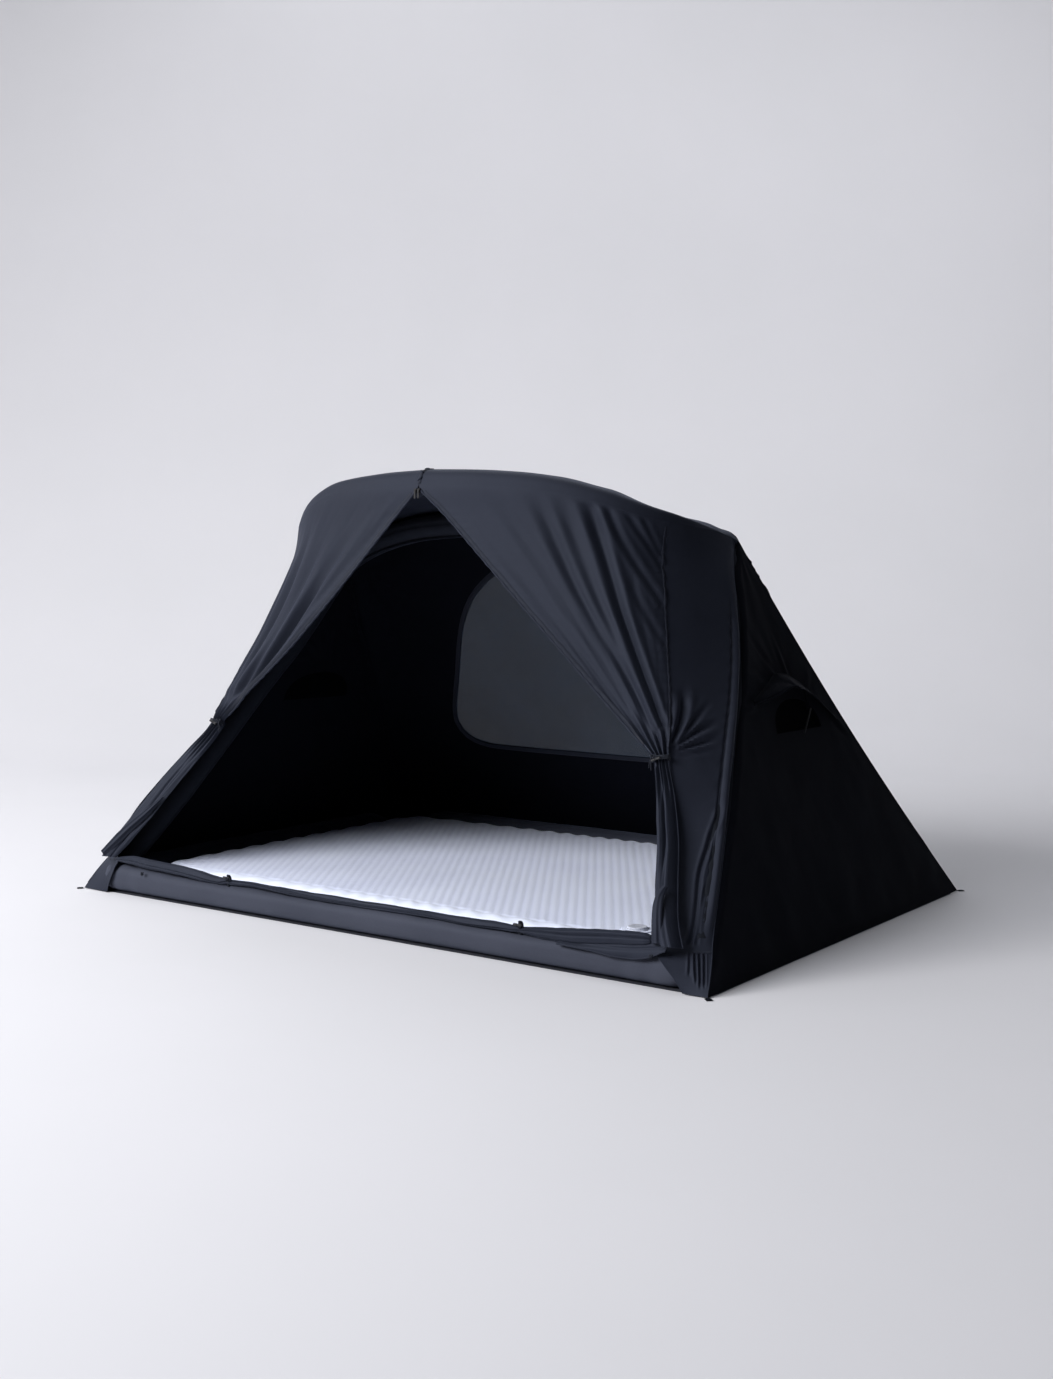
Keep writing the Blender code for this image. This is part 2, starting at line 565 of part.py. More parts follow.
for side, tag in ((1, "right"), (-1, "left")):
    # side wall: ruled at equal heights between the arch line and the rear edge
    rear_c = rear_line(30)
    g = []
    for z in [0.0042, 0.05, 0.11, 0.20, 0.31, 0.43, 0.55, 0.67, 0.79, 0.90, 0.99, 1.06, 1.100]:
        a, b = at_height(arch_skin, z), at_height(rear_c, z)
        if z < 0.05:
            b = np.array([HX - 0.001, HY - 0.010, z])
        d = b - a
        L = np.linalg.norm(d)
        gap = min(0.006, 0.2 * L)
        a2, b2 = a + d / L * gap, b - d / L * min(0.008, 0.2 * L)
        row = []
        for t in np.linspace(0, 1, 8):
            q = a2 * (1 - t) + b2 * t
            row.append(q)
        g.append(row)
    wall_ob = sheet("side_wall_" + tag, mirror(g, side), SKIN, (0, 0.2, 0.4), CANOPY)

    # vent opening: a low arch-shaped hole, filled with mesh and covered by a propped hood
    vo = [(-VENT_W / 2, 0.0), (VENT_W / 2, 0.0)]
    for k in range(1, 10):
        a = math.pi * k / 10
        vo.append((VENT_W / 2 * math.cos(a), VENT_H * math.sin(a) ** 0.8))
    e1 = Vector((0, 1, 0))
    e2 = Vector((-0.368 * side, 0, 1.118)).normalized()
    nrm = Vector((1.118 * side, 0, 0.368)).normalized()

    def wall_offset(y, z):
        """How far the side wall's outer face stands proud of the flat side plane at (y, z)."""
        a, b = at_height(arch_skin, z), at_height(rear_c, z)
        t = (y - a[1]) / (b[1] - a[1])
        x = a[0] * (1 - t) + b[0] * t
        return (x - side_plane_x(z)) * SIDE_N[0]

    base = Vector((side * side_plane_x(VENT_Z), VENT_Y, VENT_Z))

    def vpt(u, v, off):
        p = base + e1 * u + e2 * v
        return p + nrm * (off + wall_offset(p.y, p.z))

    k = len(vo)
    order = vo
    verts = [tuple(base + e1 * u + e2 * v - nrm * 0.06) for u, v in order] + [tuple(base + e1 * u + e2 * v + nrm * 0.06) for u, v in order]
    faces = [tuple(range(k)), tuple(range(k, 2 * k))[::-1]] + [(i, (i + 1) % k, k + (i + 1) % k, k + i) for i in range(k)]
    cut(wall_ob, place("vent_cutter_" + tag, verts, faces, MESH_GREY))

    # mesh just inside the hole
    ctr = (0.0, VENT_H * 0.42)
    shrink = [((u - ctr[0]) * 0.985 + ctr[0], (v - ctr[1]) * 0.97 + ctr[1]) for u, v in vo]
    verts = [tuple(vpt(u, v, -0.0010)) for u, v in shrink] + [tuple(vpt(u, v, -0.0022)) for u, v in shrink]
    verts += [tuple(vpt(*ctr, -0.0010)), tuple(vpt(*ctr, -0.0022))]
    faces = []
    for i in range(k):
        j = (i + 1) % k
        faces += [(i, j, 2 * k), (k + j, k + i, 2 * k + 1), (j, i, k + i, k + j)]
    place("vent_mesh_" + tag, verts, faces, MESH_GREY, 0.9)

    # hood: a shell from a sewn line above the vent down to a lifted free edge
    U = np.linspace(-1, 1, 13)
    hood = []
    for s in np.linspace(0, 1, 6):
        row = []
        for u in U:
            lift = HOOD_REACH * (1 - abs(u) ** 1.6) * (s ** 0.8) + 0.0022
            top_v = VENT_H + 0.045 - 0.055 * abs(u) ** 2
            low_v = 0.060 * (1 - abs(u) ** 1.15) + 0.002 - 0.050 * abs(u) ** 2
            v = top_v * (1 - s) + low_v * s
            row.append(vpt(u * (VENT_W / 2 + 0.045) * (1 - 0.10 * (1 - s)), v, lift + 0.0035))
        hood.append([tuple(q) for q in row])
    sheet("vent_hood_" + tag, hood, 0.0025, tuple(base - nrm * 0.5), CANOPY)

    # strut: a thin rod from the wall under the vent up to the hood's free edge, on a pivot at the wall
    foot = vpt(0.0, -0.012, 0.0060)
    tip = vpt(0.0, 0.052, HOOD_REACH - 0.0035)
    d = (tip - foot).normalized()
    turned("vent_strut_" + tag, [(0, 0.0), (0.0022, 0.0), (0.0028, 0.0012), (0.0028, (tip - foot).length - 0.0012),
                                 (0.0020, (tip - foot).length), (0, (tip - foot).length)],
           tuple(foot), 10, HARD_BLACK, axis_dir=tuple(d), origin=tuple(foot))

    # front corner panel: between the door seam and the main arch, its head along the side of the brow
    left = spline(SEAM_LINE + [tuple(brow_half[SEAM_HEAD])], 61)
    right_line = spline(ARCH_LINE, 61)
    head = spline(brow_half[:SEAM_HEAD + 1][::-1], 9)
    g = []
    for t in np.linspace(0, 0.985, 16):
        a, b = left[int(round(t * 60))], right_line[int(round(t * 60))]
        row = []
        for j, s in enumerate(np.linspace(0, 1, 9)):
            chord = head[0] * (1 - s) + head[-1] * s
            q = a * (1 - s) + b * s + (head[j] - chord) * t ** 4
            row.append(q)
        row = np.array(row)
        row[0] += (row[1] - row[0]) / np.linalg.norm(row[1] - row[0]) * 0.004
        row[-1] += (row[-2] - row[-1]) / np.linalg.norm(row[-2] - row[-1]) * min(0.006, 0.4 * np.linalg.norm(row[-2] - row[-1]))
        row[:, 2] = np.maximum(row[:, 2], 0.0050)
        g.append(row)
    g = np.array(g)
    g[-1] -= np.array([0, 0, 0.004])
    sheet("front_panel_" + tag, mirror(g, side), SKIN, (0, 0.3, 0.6), CANOPY)

    # door half: fanned out under the brow, gathered to a waist at the tie-back, then a tail down to the sill
    arc = brow_half[SEAM_HEAD:].copy()
    arc = np.vstack([arc[:-1], [[0.014, brow_half[-1][1], brow_half[-1][2]]]])
    arc = spline(arc - np.array([0, 0, 0.0085]), 12)
    waist_out = np.array(TIE) + np.array([-0.006, 0.0, 0.0])
    waist_in = np.array(TIE) + np.array([-0.044, -0.007, 0.004])
    tail_out = np.array([1.084, -0.796, 0.118])
    tail_in = np.array([0.990, -0.790, 0.120])
    g = []
    for t in np.linspace(0, 1, 12):
        row = []
        for j in range(12):
            s = j / 11
            top_p = arc[j]
            if j == 0:
                top_p = top_p + np.array([-0.006, 0, 0])
            w_p = waist_out * (1 - s) + waist_in * s
            q = top_p * (1 - t) + w_p * t
            # the cloth bellies in a little between the brow and the waist
            q = q + np.array([0, 0.016, 0]) * math.sin(math.pi * t) * math.sin(math.pi * s)
            if s < 0.02:
                seam_q = at_height(spline(SEAM_LINE, 60), q[2])
                q[0] = min(q[0], seam_q[0] - 0.004)
            row.append(q)
        g.append(row)
    for t in (0.25, 0.5, 0.75, 1.0):
        row = []
        for j in range(12):
            s = j / 11
            w_p = waist_out * (1 - s) + waist_in * s
            e_p = tail_out * (1 - s) + tail_in * s
            q = w_p * (1 - t) + e_p * t
            q = q + np.array([-0.006, 0.010, 0]) * math.sin(math.pi * t)
            row.append(q)
        g.append(row)
    sheet("door_panel_" + tag, mirror(g, side), SKIN, (0, 0.3, 0.5), CANOPY)

    # zip tape along the free edge of the upper door half
    down = (waist_in - arc[-1]) / np.linalg.norm(waist_in - arc[-1])
    across = Vector((down[2], 0, -down[0])).normalized()
    edge_top = arc[-1] + down * 0.022 + np.array(across) * 0.0022
    edge_low = waist_in - down * 0.032 + np.array(across) * 0.0022
    path = [edge_top * (1 - t) + edge_low * t for t in np.linspace(0, 1, 8)]
    g = [[q, q + np.array(across) * 0.0035, q + np.array(across) * 0.0070] for q in path]
    for i, row in enumerate(g):
        t = i / 7
        sag = np.array([0, 0.0, 0.0]) * math.sin(math.pi * t)
        g[i] = [q + sag for q in row]
    sheet("door_zip_tape_" + tag, mirror(g, side), 0.0016, (0, 0.3, 0.5), HARD_BLACK)

    # slider parked at the head of the zip, with its pull on a pivot
    sc = Vector((side * 0.0062, brow_half[-1][1] - 0.0085, brow_half[-1][2] - 0.022))
    prism("door_zip_slider_" + tag, rounded_rect(0.0090, 0.0140, 0.003, 2), ((1, 0, 0), (0, 0, 1)), tuple(sc), 0.0025,
          (0.06, 0.06, 0.065), roughness=0.35, metallic=0.8)
    pc = sc + Vector((0, -0.0042, 0.003))
    prism("door_zip_pull_" + tag, [(-0.0028, 0.0), (0.0028, 0.0), (0.0034, -0.018), (0.0028, -0.025), (-0.0028, -0.025), (-0.0034, -0.018)],
          ((1, 0, 0), (0, 0, 1)), tuple(pc), 0.0008, (0.06, 0.06, 0.065), roughness=0.35, metallic=0.8, origin=tuple(pc))

    # tie-back: a loop round the waist and a toggle in front of it
    wc = (waist_out + waist_in) / 2 + np.array([-0.0022, 0.0012, 0])
    wc = Vector((wc[0] * side, wc[1], wc[2]))
    ring_pts = []
    m = 20
    axis = Vector(((tail_in[0] - waist_in[0]) * side, tail_in[1] - waist_in[1], tail_in[2] - waist_in[2])).normalized()
    axis = (axis + Vector((0, 0, -1.2))).normalized()
    ax = Vector((1, 0, 0)) - axis * axis.x
    ax.normalize()
    ay = axis.cross(ax)
    verts, faces = [], []
    for ra, rb, h in ((0.0275, 0.0140, -0.005), (0.0292, 0.0157, -0.005), (0.0292, 0.0157, 0.005), (0.0275, 0.0140, 0.005)):
        for i in range(m):
            a = 2 * math.pi * i / m
            verts.append(tuple(wc + ax * ra * math.cos(a) + ay * rb * math.sin(a) + axis * h))
    for a in range(4):
        b = (a + 1) % 4
        for i in range(m):
            j = (i + 1) % m
            faces.append((a * m + i, a * m + j, b * m + j, b * m + i))
    place("tieback_loop_" + tag, verts, faces, HARD_BLACK, 0.7)
    tc = wc + Vector((0, -0.0215, 0.0))
    turned("tieback_toggle_" + tag, [(0, -0.0150), (0.0022, -0.0150), (0.0036, -0.0135), (0.0036, -0.0020), (0.0026, -0.0012),
                                     (0.0026, 0.0012), (0.0036, 0.0020), (0.0036, 0.0135), (0.0022, 0.0150), (0, 0.0150)],
           tuple(tc), 10, HARD_BLACK, axis_dir=(0.9, 0, 0.35 * side), roughness=0.4, origin=tuple(tc))

# ------------------------------------------------------------------ rolled door hem on the sill, its loops and toggles
roll_path = [(ROLL_X * u, ROLL_Y + 0.004 * math.sin(7 * u), ROLL_Z + 0.0010 * math.cos(9 * u)) for u in np.linspace(-1, 1, 25)]
roll_rad = [ROLL_R * (0.80 + 0.20 * math.cos(11 * u) * math.cos(5 * u)) for u in np.linspace(-1, 1, 25)]
sweep("door_roll", roll_path, roll_rad, 10, CANOPY)

for x, tag in zip(SILL_LOOP_X, ("left", "right")):
    y = ROLL_Y + 0.004 * math.sin(7 * x / ROLL_X)
    z = ROLL_Z + 0.0010 * math.cos(9 * x / ROLL_X)
    turned("sill_loop_" + tag, [(0.0160, -0.0065), (0.0176, -0.0065), (0.0176, 0.0065), (0.0160, 0.0065)],
           (x, y, z), 20, HARD_BLACK, axis_dir=(1, 0, 0), roughness=0.7)
    tc = (x, y - 0.0222, z - 0.004)
    turned("sill_toggle_" + tag, [(0, -0.0140), (0.0022, -0.0140), (0.0036, -0.0125), (0.0036, -0.0020), (0.0026, -0.0012),
                                  (0.0026, 0.0012), (0.0036, 0.0020), (0.0036, 0.0125), (0.0022, 0.0140), (0, 0.0140)],
           tc, 10, HARD_BLACK, axis_dir=(1, 0, 0), roughness=0.4, origin=tc)

# ------------------------------------------------------------------ webbing tabs at the four corners
for sx, sy, tag in ((1, -1, "front_right"), (-1, -1, "front_left"), (1, 1, "rear_right"), (-1, 1, "rear_left")):
    d = Vector((sx, sy, 0)).normalized()
    t = Vector((-d.y, d.x, 0))
    root = Vector((sx * (HX + 0.0006), sy * (HY + 0.0006), 0.0018))
    prism("corner_tab_" + tag, [(0.0, -0.010), (0.017, -0.010), (0.020, -0.007), (0.020, 0.007), (0.017, 0.010), (0.0, 0.010)],
          (d, t), tuple(root), 0.0011, HARD_BLACK, roughness=0.8, origin=tuple(root), smooth=False)
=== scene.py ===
"""Looks of the inflatable tent: cloth skins with their folds, the ribbed mattress, seams,
fastenings, materials, studio floor, lights and camera. Metres, +Z up, doorway towards -Y."""
import bpy
import bmesh
import math
import numpy as np
from mathutils import Matrix, Vector


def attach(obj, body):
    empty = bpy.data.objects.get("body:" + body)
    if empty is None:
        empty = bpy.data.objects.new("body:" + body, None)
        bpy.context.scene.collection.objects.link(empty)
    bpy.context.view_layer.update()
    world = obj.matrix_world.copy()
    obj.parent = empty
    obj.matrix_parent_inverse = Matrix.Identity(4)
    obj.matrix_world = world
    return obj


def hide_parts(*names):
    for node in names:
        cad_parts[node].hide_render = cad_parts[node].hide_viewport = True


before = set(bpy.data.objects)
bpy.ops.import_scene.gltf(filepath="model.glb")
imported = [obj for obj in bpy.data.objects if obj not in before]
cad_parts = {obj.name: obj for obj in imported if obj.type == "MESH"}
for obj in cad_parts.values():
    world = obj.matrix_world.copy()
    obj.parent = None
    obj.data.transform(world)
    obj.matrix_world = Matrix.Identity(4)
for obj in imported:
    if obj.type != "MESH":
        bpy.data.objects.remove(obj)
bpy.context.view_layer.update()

BODY = "tent"

# ------------------------------------------------------------------ lines shared with the CAD model
HX, HY = 1.150, 0.8176
SHOULDER = (0.782, -0.006, 1.118)
TIE = (0.860, -0.520, 0.535)
REAR_SAG = (0.015, 0.013)
ARCH_R, VISOR_R = 0.0425, 0.0360
TUBE_W, TUBE_H, TUBE_Z0 = 0.120, 0.088, 0.0024
BASE_CX, BASE_CYF, BASE_CYR = 1.0640, 0.7496, 0.6940
BED_W, BED_D, BED_H, BED_CY, BED_Z0, BED_CORNER = 1.950, 1.310, 0.0814, -0.0260, 0.0024, 0.110
BED_TOP = BED_Z0 + BED_H
MAT_VALVE = (0.8038, -0.5821)
ROLL_X, ROLL_Y, ROLL_Z, ROLL_R = 0.965, -0.7800, 0.1085, 0.0150
SILL_LOOP_X = (-0.515, 0.572)
VENT_Y, VENT_Z, VENT_W, VENT_H, HOOD_REACH = 0.065, 0.575, 0.300, 0.095, 0.050

ARCH_LINE = [(1.150, -0.8176, 0.0), (1.120, -0.730, 0.112), (1.053, -0.552, 0.317),
             (1.013, -0.449, 0.444), (0.972, -0.350, 0.578), (0.934, -0.260, 0.691),
             (0.895, -0.184, 0.810), (0.850, -0.118, 0.947), (0.820, -0.085, 1.031), SHOULDER]
ARCH_AXIS = [(1.0735, -0.7100, 0.0916), (1.0087, -0.5364, 0.2904), (0.9277, -0.3344, 0.5514),
             (0.8507, -0.1684, 0.7834), (0.804, -0.106, 0.921), (0.776, -0.070, 1.001),
             (0.742, -0.020, 1.078), (0.675, -0.004, 1.118), (0.568, -0.004, 1.145),
             (0.395, -0.005, 1.1660), (0.199, -0.005, 1.1780), (0.0, -0.005, 1.1815)]
CROWN_LINE = [SHOULDER, (0.70, 0.0, 1.160), (0.58, 0.0, 1.192), (0.40, 0.0, 1.216),
              (0.20, 0.0, 1.228), (0.0, 0.0, 1.232)]
CROWN_BACK = [SHOULDER, (0.740, 0.026, 1.141), (0.690, 0.0370, 1.1540), (0.568, 0.0380, 1.1780),
              (0.395, 0.0360, 1.1970), (0.199, 0.0360, 1.2090), (0.0, 0.0360, 1.2125)]
VISOR_LINE = [SHOULDER, (0.760, -0.10, 1.150), (0.715, -0.215, 1.183), (0.661, -0.285, 1.212),
              (0.55, -0.36, 1.262), (0.40, -0.41, 1.300), (0.20, -0.445, 1.320), (0.0, -0.46, 1.327)]
VISOR_AXIS = [(0.7350, -0.0770, 1.0945), (0.727, -0.106, 1.1035), (0.686, -0.206, 1.136),
              (0.634, -0.272, 1.166), (0.530, -0.352, 1.216), (0.388, -0.406, 1.254),
              (0.195, -0.446, 1.275), (0.0, -0.462, 1.282)]
TAIL_LINE = [(1.100, -0.8176, 0.003), (1.086, -0.812, 0.090), (1.050, -0.780, 0.165), (1.015, -0.720, 0.250),
             (0.972, -0.646, 0.350), (0.914, -0.575, 0.450), TIE]
SEAM_LINE = [(1.080, -0.8182, 0.003), (1.060, -0.8198, 0.032), (1.030, -0.8192, 0.062), (1.004, -0.8120, 0.085), (0.985, -0.7960, 0.100),
             (0.974, -0.7760, 0.130), (0.976, -0.7450, 0.170), (0.956, -0.668, 0.250), (0.926, -0.592, 0.350), (0.892, -0.547, 0.450), TIE,
             (0.820, -0.4480, 0.6856), (0.779, -0.3930, 0.816), (0.743, -0.3450, 0.9496),
             (0.707, -0.2970, 1.0865)]
TAIL_RIGHT = [(1.100, -0.8176, 0.003), (1.086, -0.812, 0.090), (1.045, -0.773, 0.165), (0.997, -0.695, 0.250),
              (0.953, -0.620, 0.350), (0.903, -0.559, 0.450), TIE]
SEAM_LEFT = [(1.036, -0.8182, 0.003), (1.024, -0.8198, 0.032), (1.010, -0.8192, 0.062), (1.004, -0.8120, 0.085), (1.004, -0.7980, 0.102),
             (1.022, -0.7880, 0.130), (1.032, -0.765, 0.170)] + TAIL_LINE[3:] + SEAM_LINE[11:]
WINDOW_HALF = [(0.0, 1.050), (0.13, 1.045), (0.235, 1.005), (0.345, 0.935), (0.425, 0.855),
               (0.487, 0.765), (0.545, 0.665), (0.600, 0.575), (0.640, 0.500), (0.648, 0.455),
               (0.622, 0.415), (0.560, 0.393), (0.450, 0.387), (0.220, 0.385), (0.0, 0.384)]


# ------------------------------------------------------------------ small maths
def unit(v):
    v = np.asarray(v, float)
    return v / np.maximum(np.linalg.norm(v, axis=-1, keepdims=True), 1e-12)


def step(a, b, x):
    t = np.clip((np.asarray(x, float) - a) / (b - a), 0, 1)
    return t * t * (3 - 2 * t)


def bump(x, centre, width):
    return np.exp(-((x - centre) / width) ** 2)


def spline(points, count):
    """Smooth curve through the points (centripetal), returned at equal steps of its length."""
    p = np.array(points, float)
    p = np.vstack([2 * p[0] - p[1], p, 2 * p[-1] - p[-2]])
    out = []
    for i in range(1, len(p) - 2):
        p0, p1, p2, p3 = p[i - 1:i + 3]
        t0 = 0.0
        t1 = t0 + np.linalg.norm(p1 - p0) ** 0.5
        t2 = t1 + np.linalg.norm(p2 - p1) ** 0.5
        t3 = t2 + np.linalg.norm(p3 - p2) ** 0.5
        t = np.linspace(t1, t2, 24, endpoint=False)[:, None]
        a1 = (t1 - t) / (t1 - t0) * p0 + (t - t0) / (t1 - t0) * p1
        a2 = (t2 - t) / (t2 - t1) * p1 + (t - t1) / (t2 - t1) * p2
        a3 = (t3 - t) / (t3 - t2) * p2 + (t - t2) / (t3 - t2) * p3
        b1 = (t2 - t) / (t2 - t0) * a1 + (t - t0) / (t2 - t0) * a2
        b2 = (t3 - t) / (t3 - t1) * a2 + (t - t1) / (t3 - t1) * a3
        out.append((t2 - t) / (t2 - t1) * b1 + (t - t1) / (t2 - t1) * b2)
    out = np.vstack(out + [p[-2][None]])
    return resample(out, count)


def resample(line, count):
    s = np.r_[0, np.cumsum(np.linalg.norm(np.diff(line, axis=0), axis=1))]
    u = np.linspace(0, s[-1], count)
    return np.stack([np.interp(u, s, line[:, j]) for j in range(line.shape[1])], 1)


def mirror(points, side):
    p = np.array(points, float).copy()
    p[..., 0] *= side
    return p


def whole(half):
    h = np.array(half, float)
    return np.vstack([h, mirror(h, -1)[::-1][1:]])


def at_height(curve, z):
    zz = curve[:, 2]
    order = np.argsort(zz)
    return np.stack([np.interp(z, zz[order], curve[order][:, j]) for j in range(3)], -1)


def loft(rows, at, m):
    """Smooth surface through curves placed at the parameters `at`; m rows come out."""
    rows, at = np.array(rows, float), np.array(at, float)
    tang = np.gradient(rows, at, axis=0)
    out = []
    for u in np.linspace(at[0], at[-1], m):
        i = min(int(np.searchsorted(at, u, side="right")) - 1, len(at) - 2)
        h = at[i + 1] - at[i]
        t = (u - at[i]) / h
        out.append((2 * t ** 3 - 3 * t ** 2 + 1) * rows[i] + (t ** 3 - 2 * t ** 2 + t) * h * tang[i]
                   + (3 * t ** 2 - 2 * t ** 3) * rows[i + 1] + (t ** 3 - t ** 2) * h * tang[i + 1])
    return np.array(out)


_perm = np.random.RandomState(11).permutation(256)
_perm = np.r_[_perm, _perm, _perm]
_grad = unit(np.random.RandomState(5).normal(size=(256, 3)))


def perlin(p):
    """Gradient noise at points p (..., 3), about -1 to 1."""
    p = np.asarray(p, float)
    i = np.floor(p).astype(int)
    f = p - i
    i &= 255
    u = f * f * f * (f * (f * 6 - 15) + 10)
    out = 0.0
    for dx in (0, 1):
        for dy in (0, 1):
            for dz in (0, 1):
                h = _perm[_perm[_perm[(i[..., 0] + dx) & 255] + ((i[..., 1] + dy) & 255)] + ((i[..., 2] + dz) & 255)]
                g = _grad[h]
                d = g[..., 0] * (f[..., 0] - dx) + g[..., 1] * (f[..., 1] - dy) + g[..., 2] * (f[..., 2] - dz)
                w = ((u[..., 0] if dx else 1 - u[..., 0]) * (u[..., 1] if dy else 1 - u[..., 1])
                     * (u[..., 2] if dz else 1 - u[..., 2]))
                out = out + w * d
    return out * 1.7


def fbm(p, octaves=3):
    out, a, q = 0.0, 1.0, np.asarray(p, float)
    for _ in range(octaves):
        out = out + a * perlin(q)
        q = q * 2.03 + 17.1
        a *= 0.5
    return out


def creases(p, octaves=2):
    """Soft ridged noise: low rounded cushions parted by narrow lines."""
    out, a, q = 0.0, 1.0, np.asarray(p, float)
    for _ in range(octaves):
        out = out + a * (1 - np.sqrt(perlin(q) ** 2 + 0.004) * 2.2)
        q = q * 2.1 + 9.7
        a *= 0.45
    return out


def grid_normals(g):
    n = np.cross(np.gradient(g, axis=0), np.gradient(g, axis=1))
    return unit(n)


def outward(g, inside):
    """Grid normals that point away from the point `inside`."""
    n = grid_normals(g)
    flip = np.sign(np.mean(np.sum(n * (g - np.array(inside)), axis=2)))
    return n * (flip if flip else 1.0)


# ------------------------------------------------------------------ mesh building
def finish_object(name, me, mat, sharp=50):
    me.shade_smooth()
    me.set_sharp_from_angle(angle=math.radians(sharp))
    ob = bpy.data.objects.new(name, me)
    bpy.context.scene.collection.objects.link(ob)
    if mat is not None:
        me.materials.append(mat)
    return ob


def build(name, verts, quads, mat, uv=None, tris=None, sharp=50, painted_shading=None):
    """A mesh object from arrays. uv is per vertex, tone a per-vertex number for the material."""
    faces = [tuple(f) for f in np.asarray(quads).tolist()] if len(quads) else []
    if tris is not None:
        faces += [tuple(f) for f in np.asarray(tris).tolist()]
    me = bpy.data.meshes.new(name)
    me.from_pydata(np.asarray(verts, float).tolist(), [], faces)
    me.update()
    if uv is not None:
        layer = me.uv_layers.new(name="UVMap")
        idx = np.zeros(len(me.loops), np.int32)
        me.loops.foreach_get("vertex_index", idx)
        layer.data.foreach_set("uv", np.asarray(uv, np.float32)[idx].ravel())
    if painted_shading is not None:
        # per-vertex number that the materials turn into painted shading
        at = me.attributes.new("painted_shading", "FLOAT", "POINT")
        at.data.foreach_set("value", np.asarray(painted_shading, np.float32).ravel())
    return finish_object(name, me, mat, sharp)


def metric_uv(g):
    """Arc length along both directions of a grid, in metres."""
    du = np.linalg.norm(np.diff(g, axis=1), axis=2)
    dv = np.linalg.norm(np.diff(g, axis=0), axis=2)
    u = np.concatenate([np.zeros((g.shape[0], 1)), np.cumsum(du, axis=1)], axis=1)
    u = u - u[:, u.shape[1] // 2:u.shape[1] // 2 + 1]
    v = np.concatenate([np.zeros((1, g.shape[1])), np.cumsum(dv, axis=0)], axis=0)
    return np.stack([u, v], 2)


def cloth(name, g, thick, inside, mat, painted_shading=None, closed=False, sharp=50, uv=None, keep=None):
    """A closed sheet of cloth: the grid is its outer face, the inner face lies `thick` behind it.
    closed joins the last column to the first. keep is a mask of grid faces; the rest are left open."""
    g = np.array(g, float)
    r, k = g.shape[:2]
    if closed:
        gg = np.concatenate([g[:, -1:], g, g[:, :1]], axis=1)
        n = grid_normals(gg)[:, 1:-1]
        if np.mean(np.sum(n * (g - np.array(inside)), axis=2)) < 0:
            n = -n
    else:
        n = outward(g, inside)
    inner = g - n * thick
    verts = np.vstack([g.reshape(-1, 3), inner.reshape(-1, 3)])
    cols = k if closed else k - 1
    i, j = np.meshgrid(np.arange(r - 1), np.arange(cols), indexing="ij")
    a = i * k + j
    b = i * k + (j + 1) % k
    c = (i + 1) * k + (j + 1) % k
    d = (i + 1) * k + j
    quads = np.stack([a, b, c, d], -1)
    mask = np.ones(quads.shape[:2], bool) if keep is None else keep
    quads = quads[mask]
    mid = g.reshape(-1, 3)
    fn = np.cross(mid[quads[:, 1]] - mid[quads[:, 0]], mid[quads[:, 3]] - mid[quads[:, 0]])
    if np.sum(fn * n.reshape(-1, 3)[quads[:, 0]]) < 0:
        quads = quads[:, ::-1]
    e = np.concatenate([quads[:, [0, 1]], quads[:, [1, 2]], quads[:, [2, 3]], quads[:, [3, 0]]])
    key = np.sort(e, axis=1)
    _, inv, cnt = np.unique(key, axis=0, return_inverse=True, return_counts=True)
    rim = e[cnt[inv.ravel()] == 1]
    off = r * k
    faces = np.vstack([quads, quads[:, ::-1] + off, np.stack([rim[:, 1], rim[:, 0], rim[:, 0] + off, rim[:, 1] + off], 1)])
    if uv is None:
        uv = metric_uv(g)
    uvs = np.vstack([uv.reshape(-1, 2)] * 2)
    painted_shadings = None if painted_shading is None else np.r_[np.asarray(painted_shading).ravel(), np.asarray(painted_shading).ravel() * 0.3]
    return build(name, verts, faces, mat, uvs, sharp=sharp, painted_shading=painted_shadings)


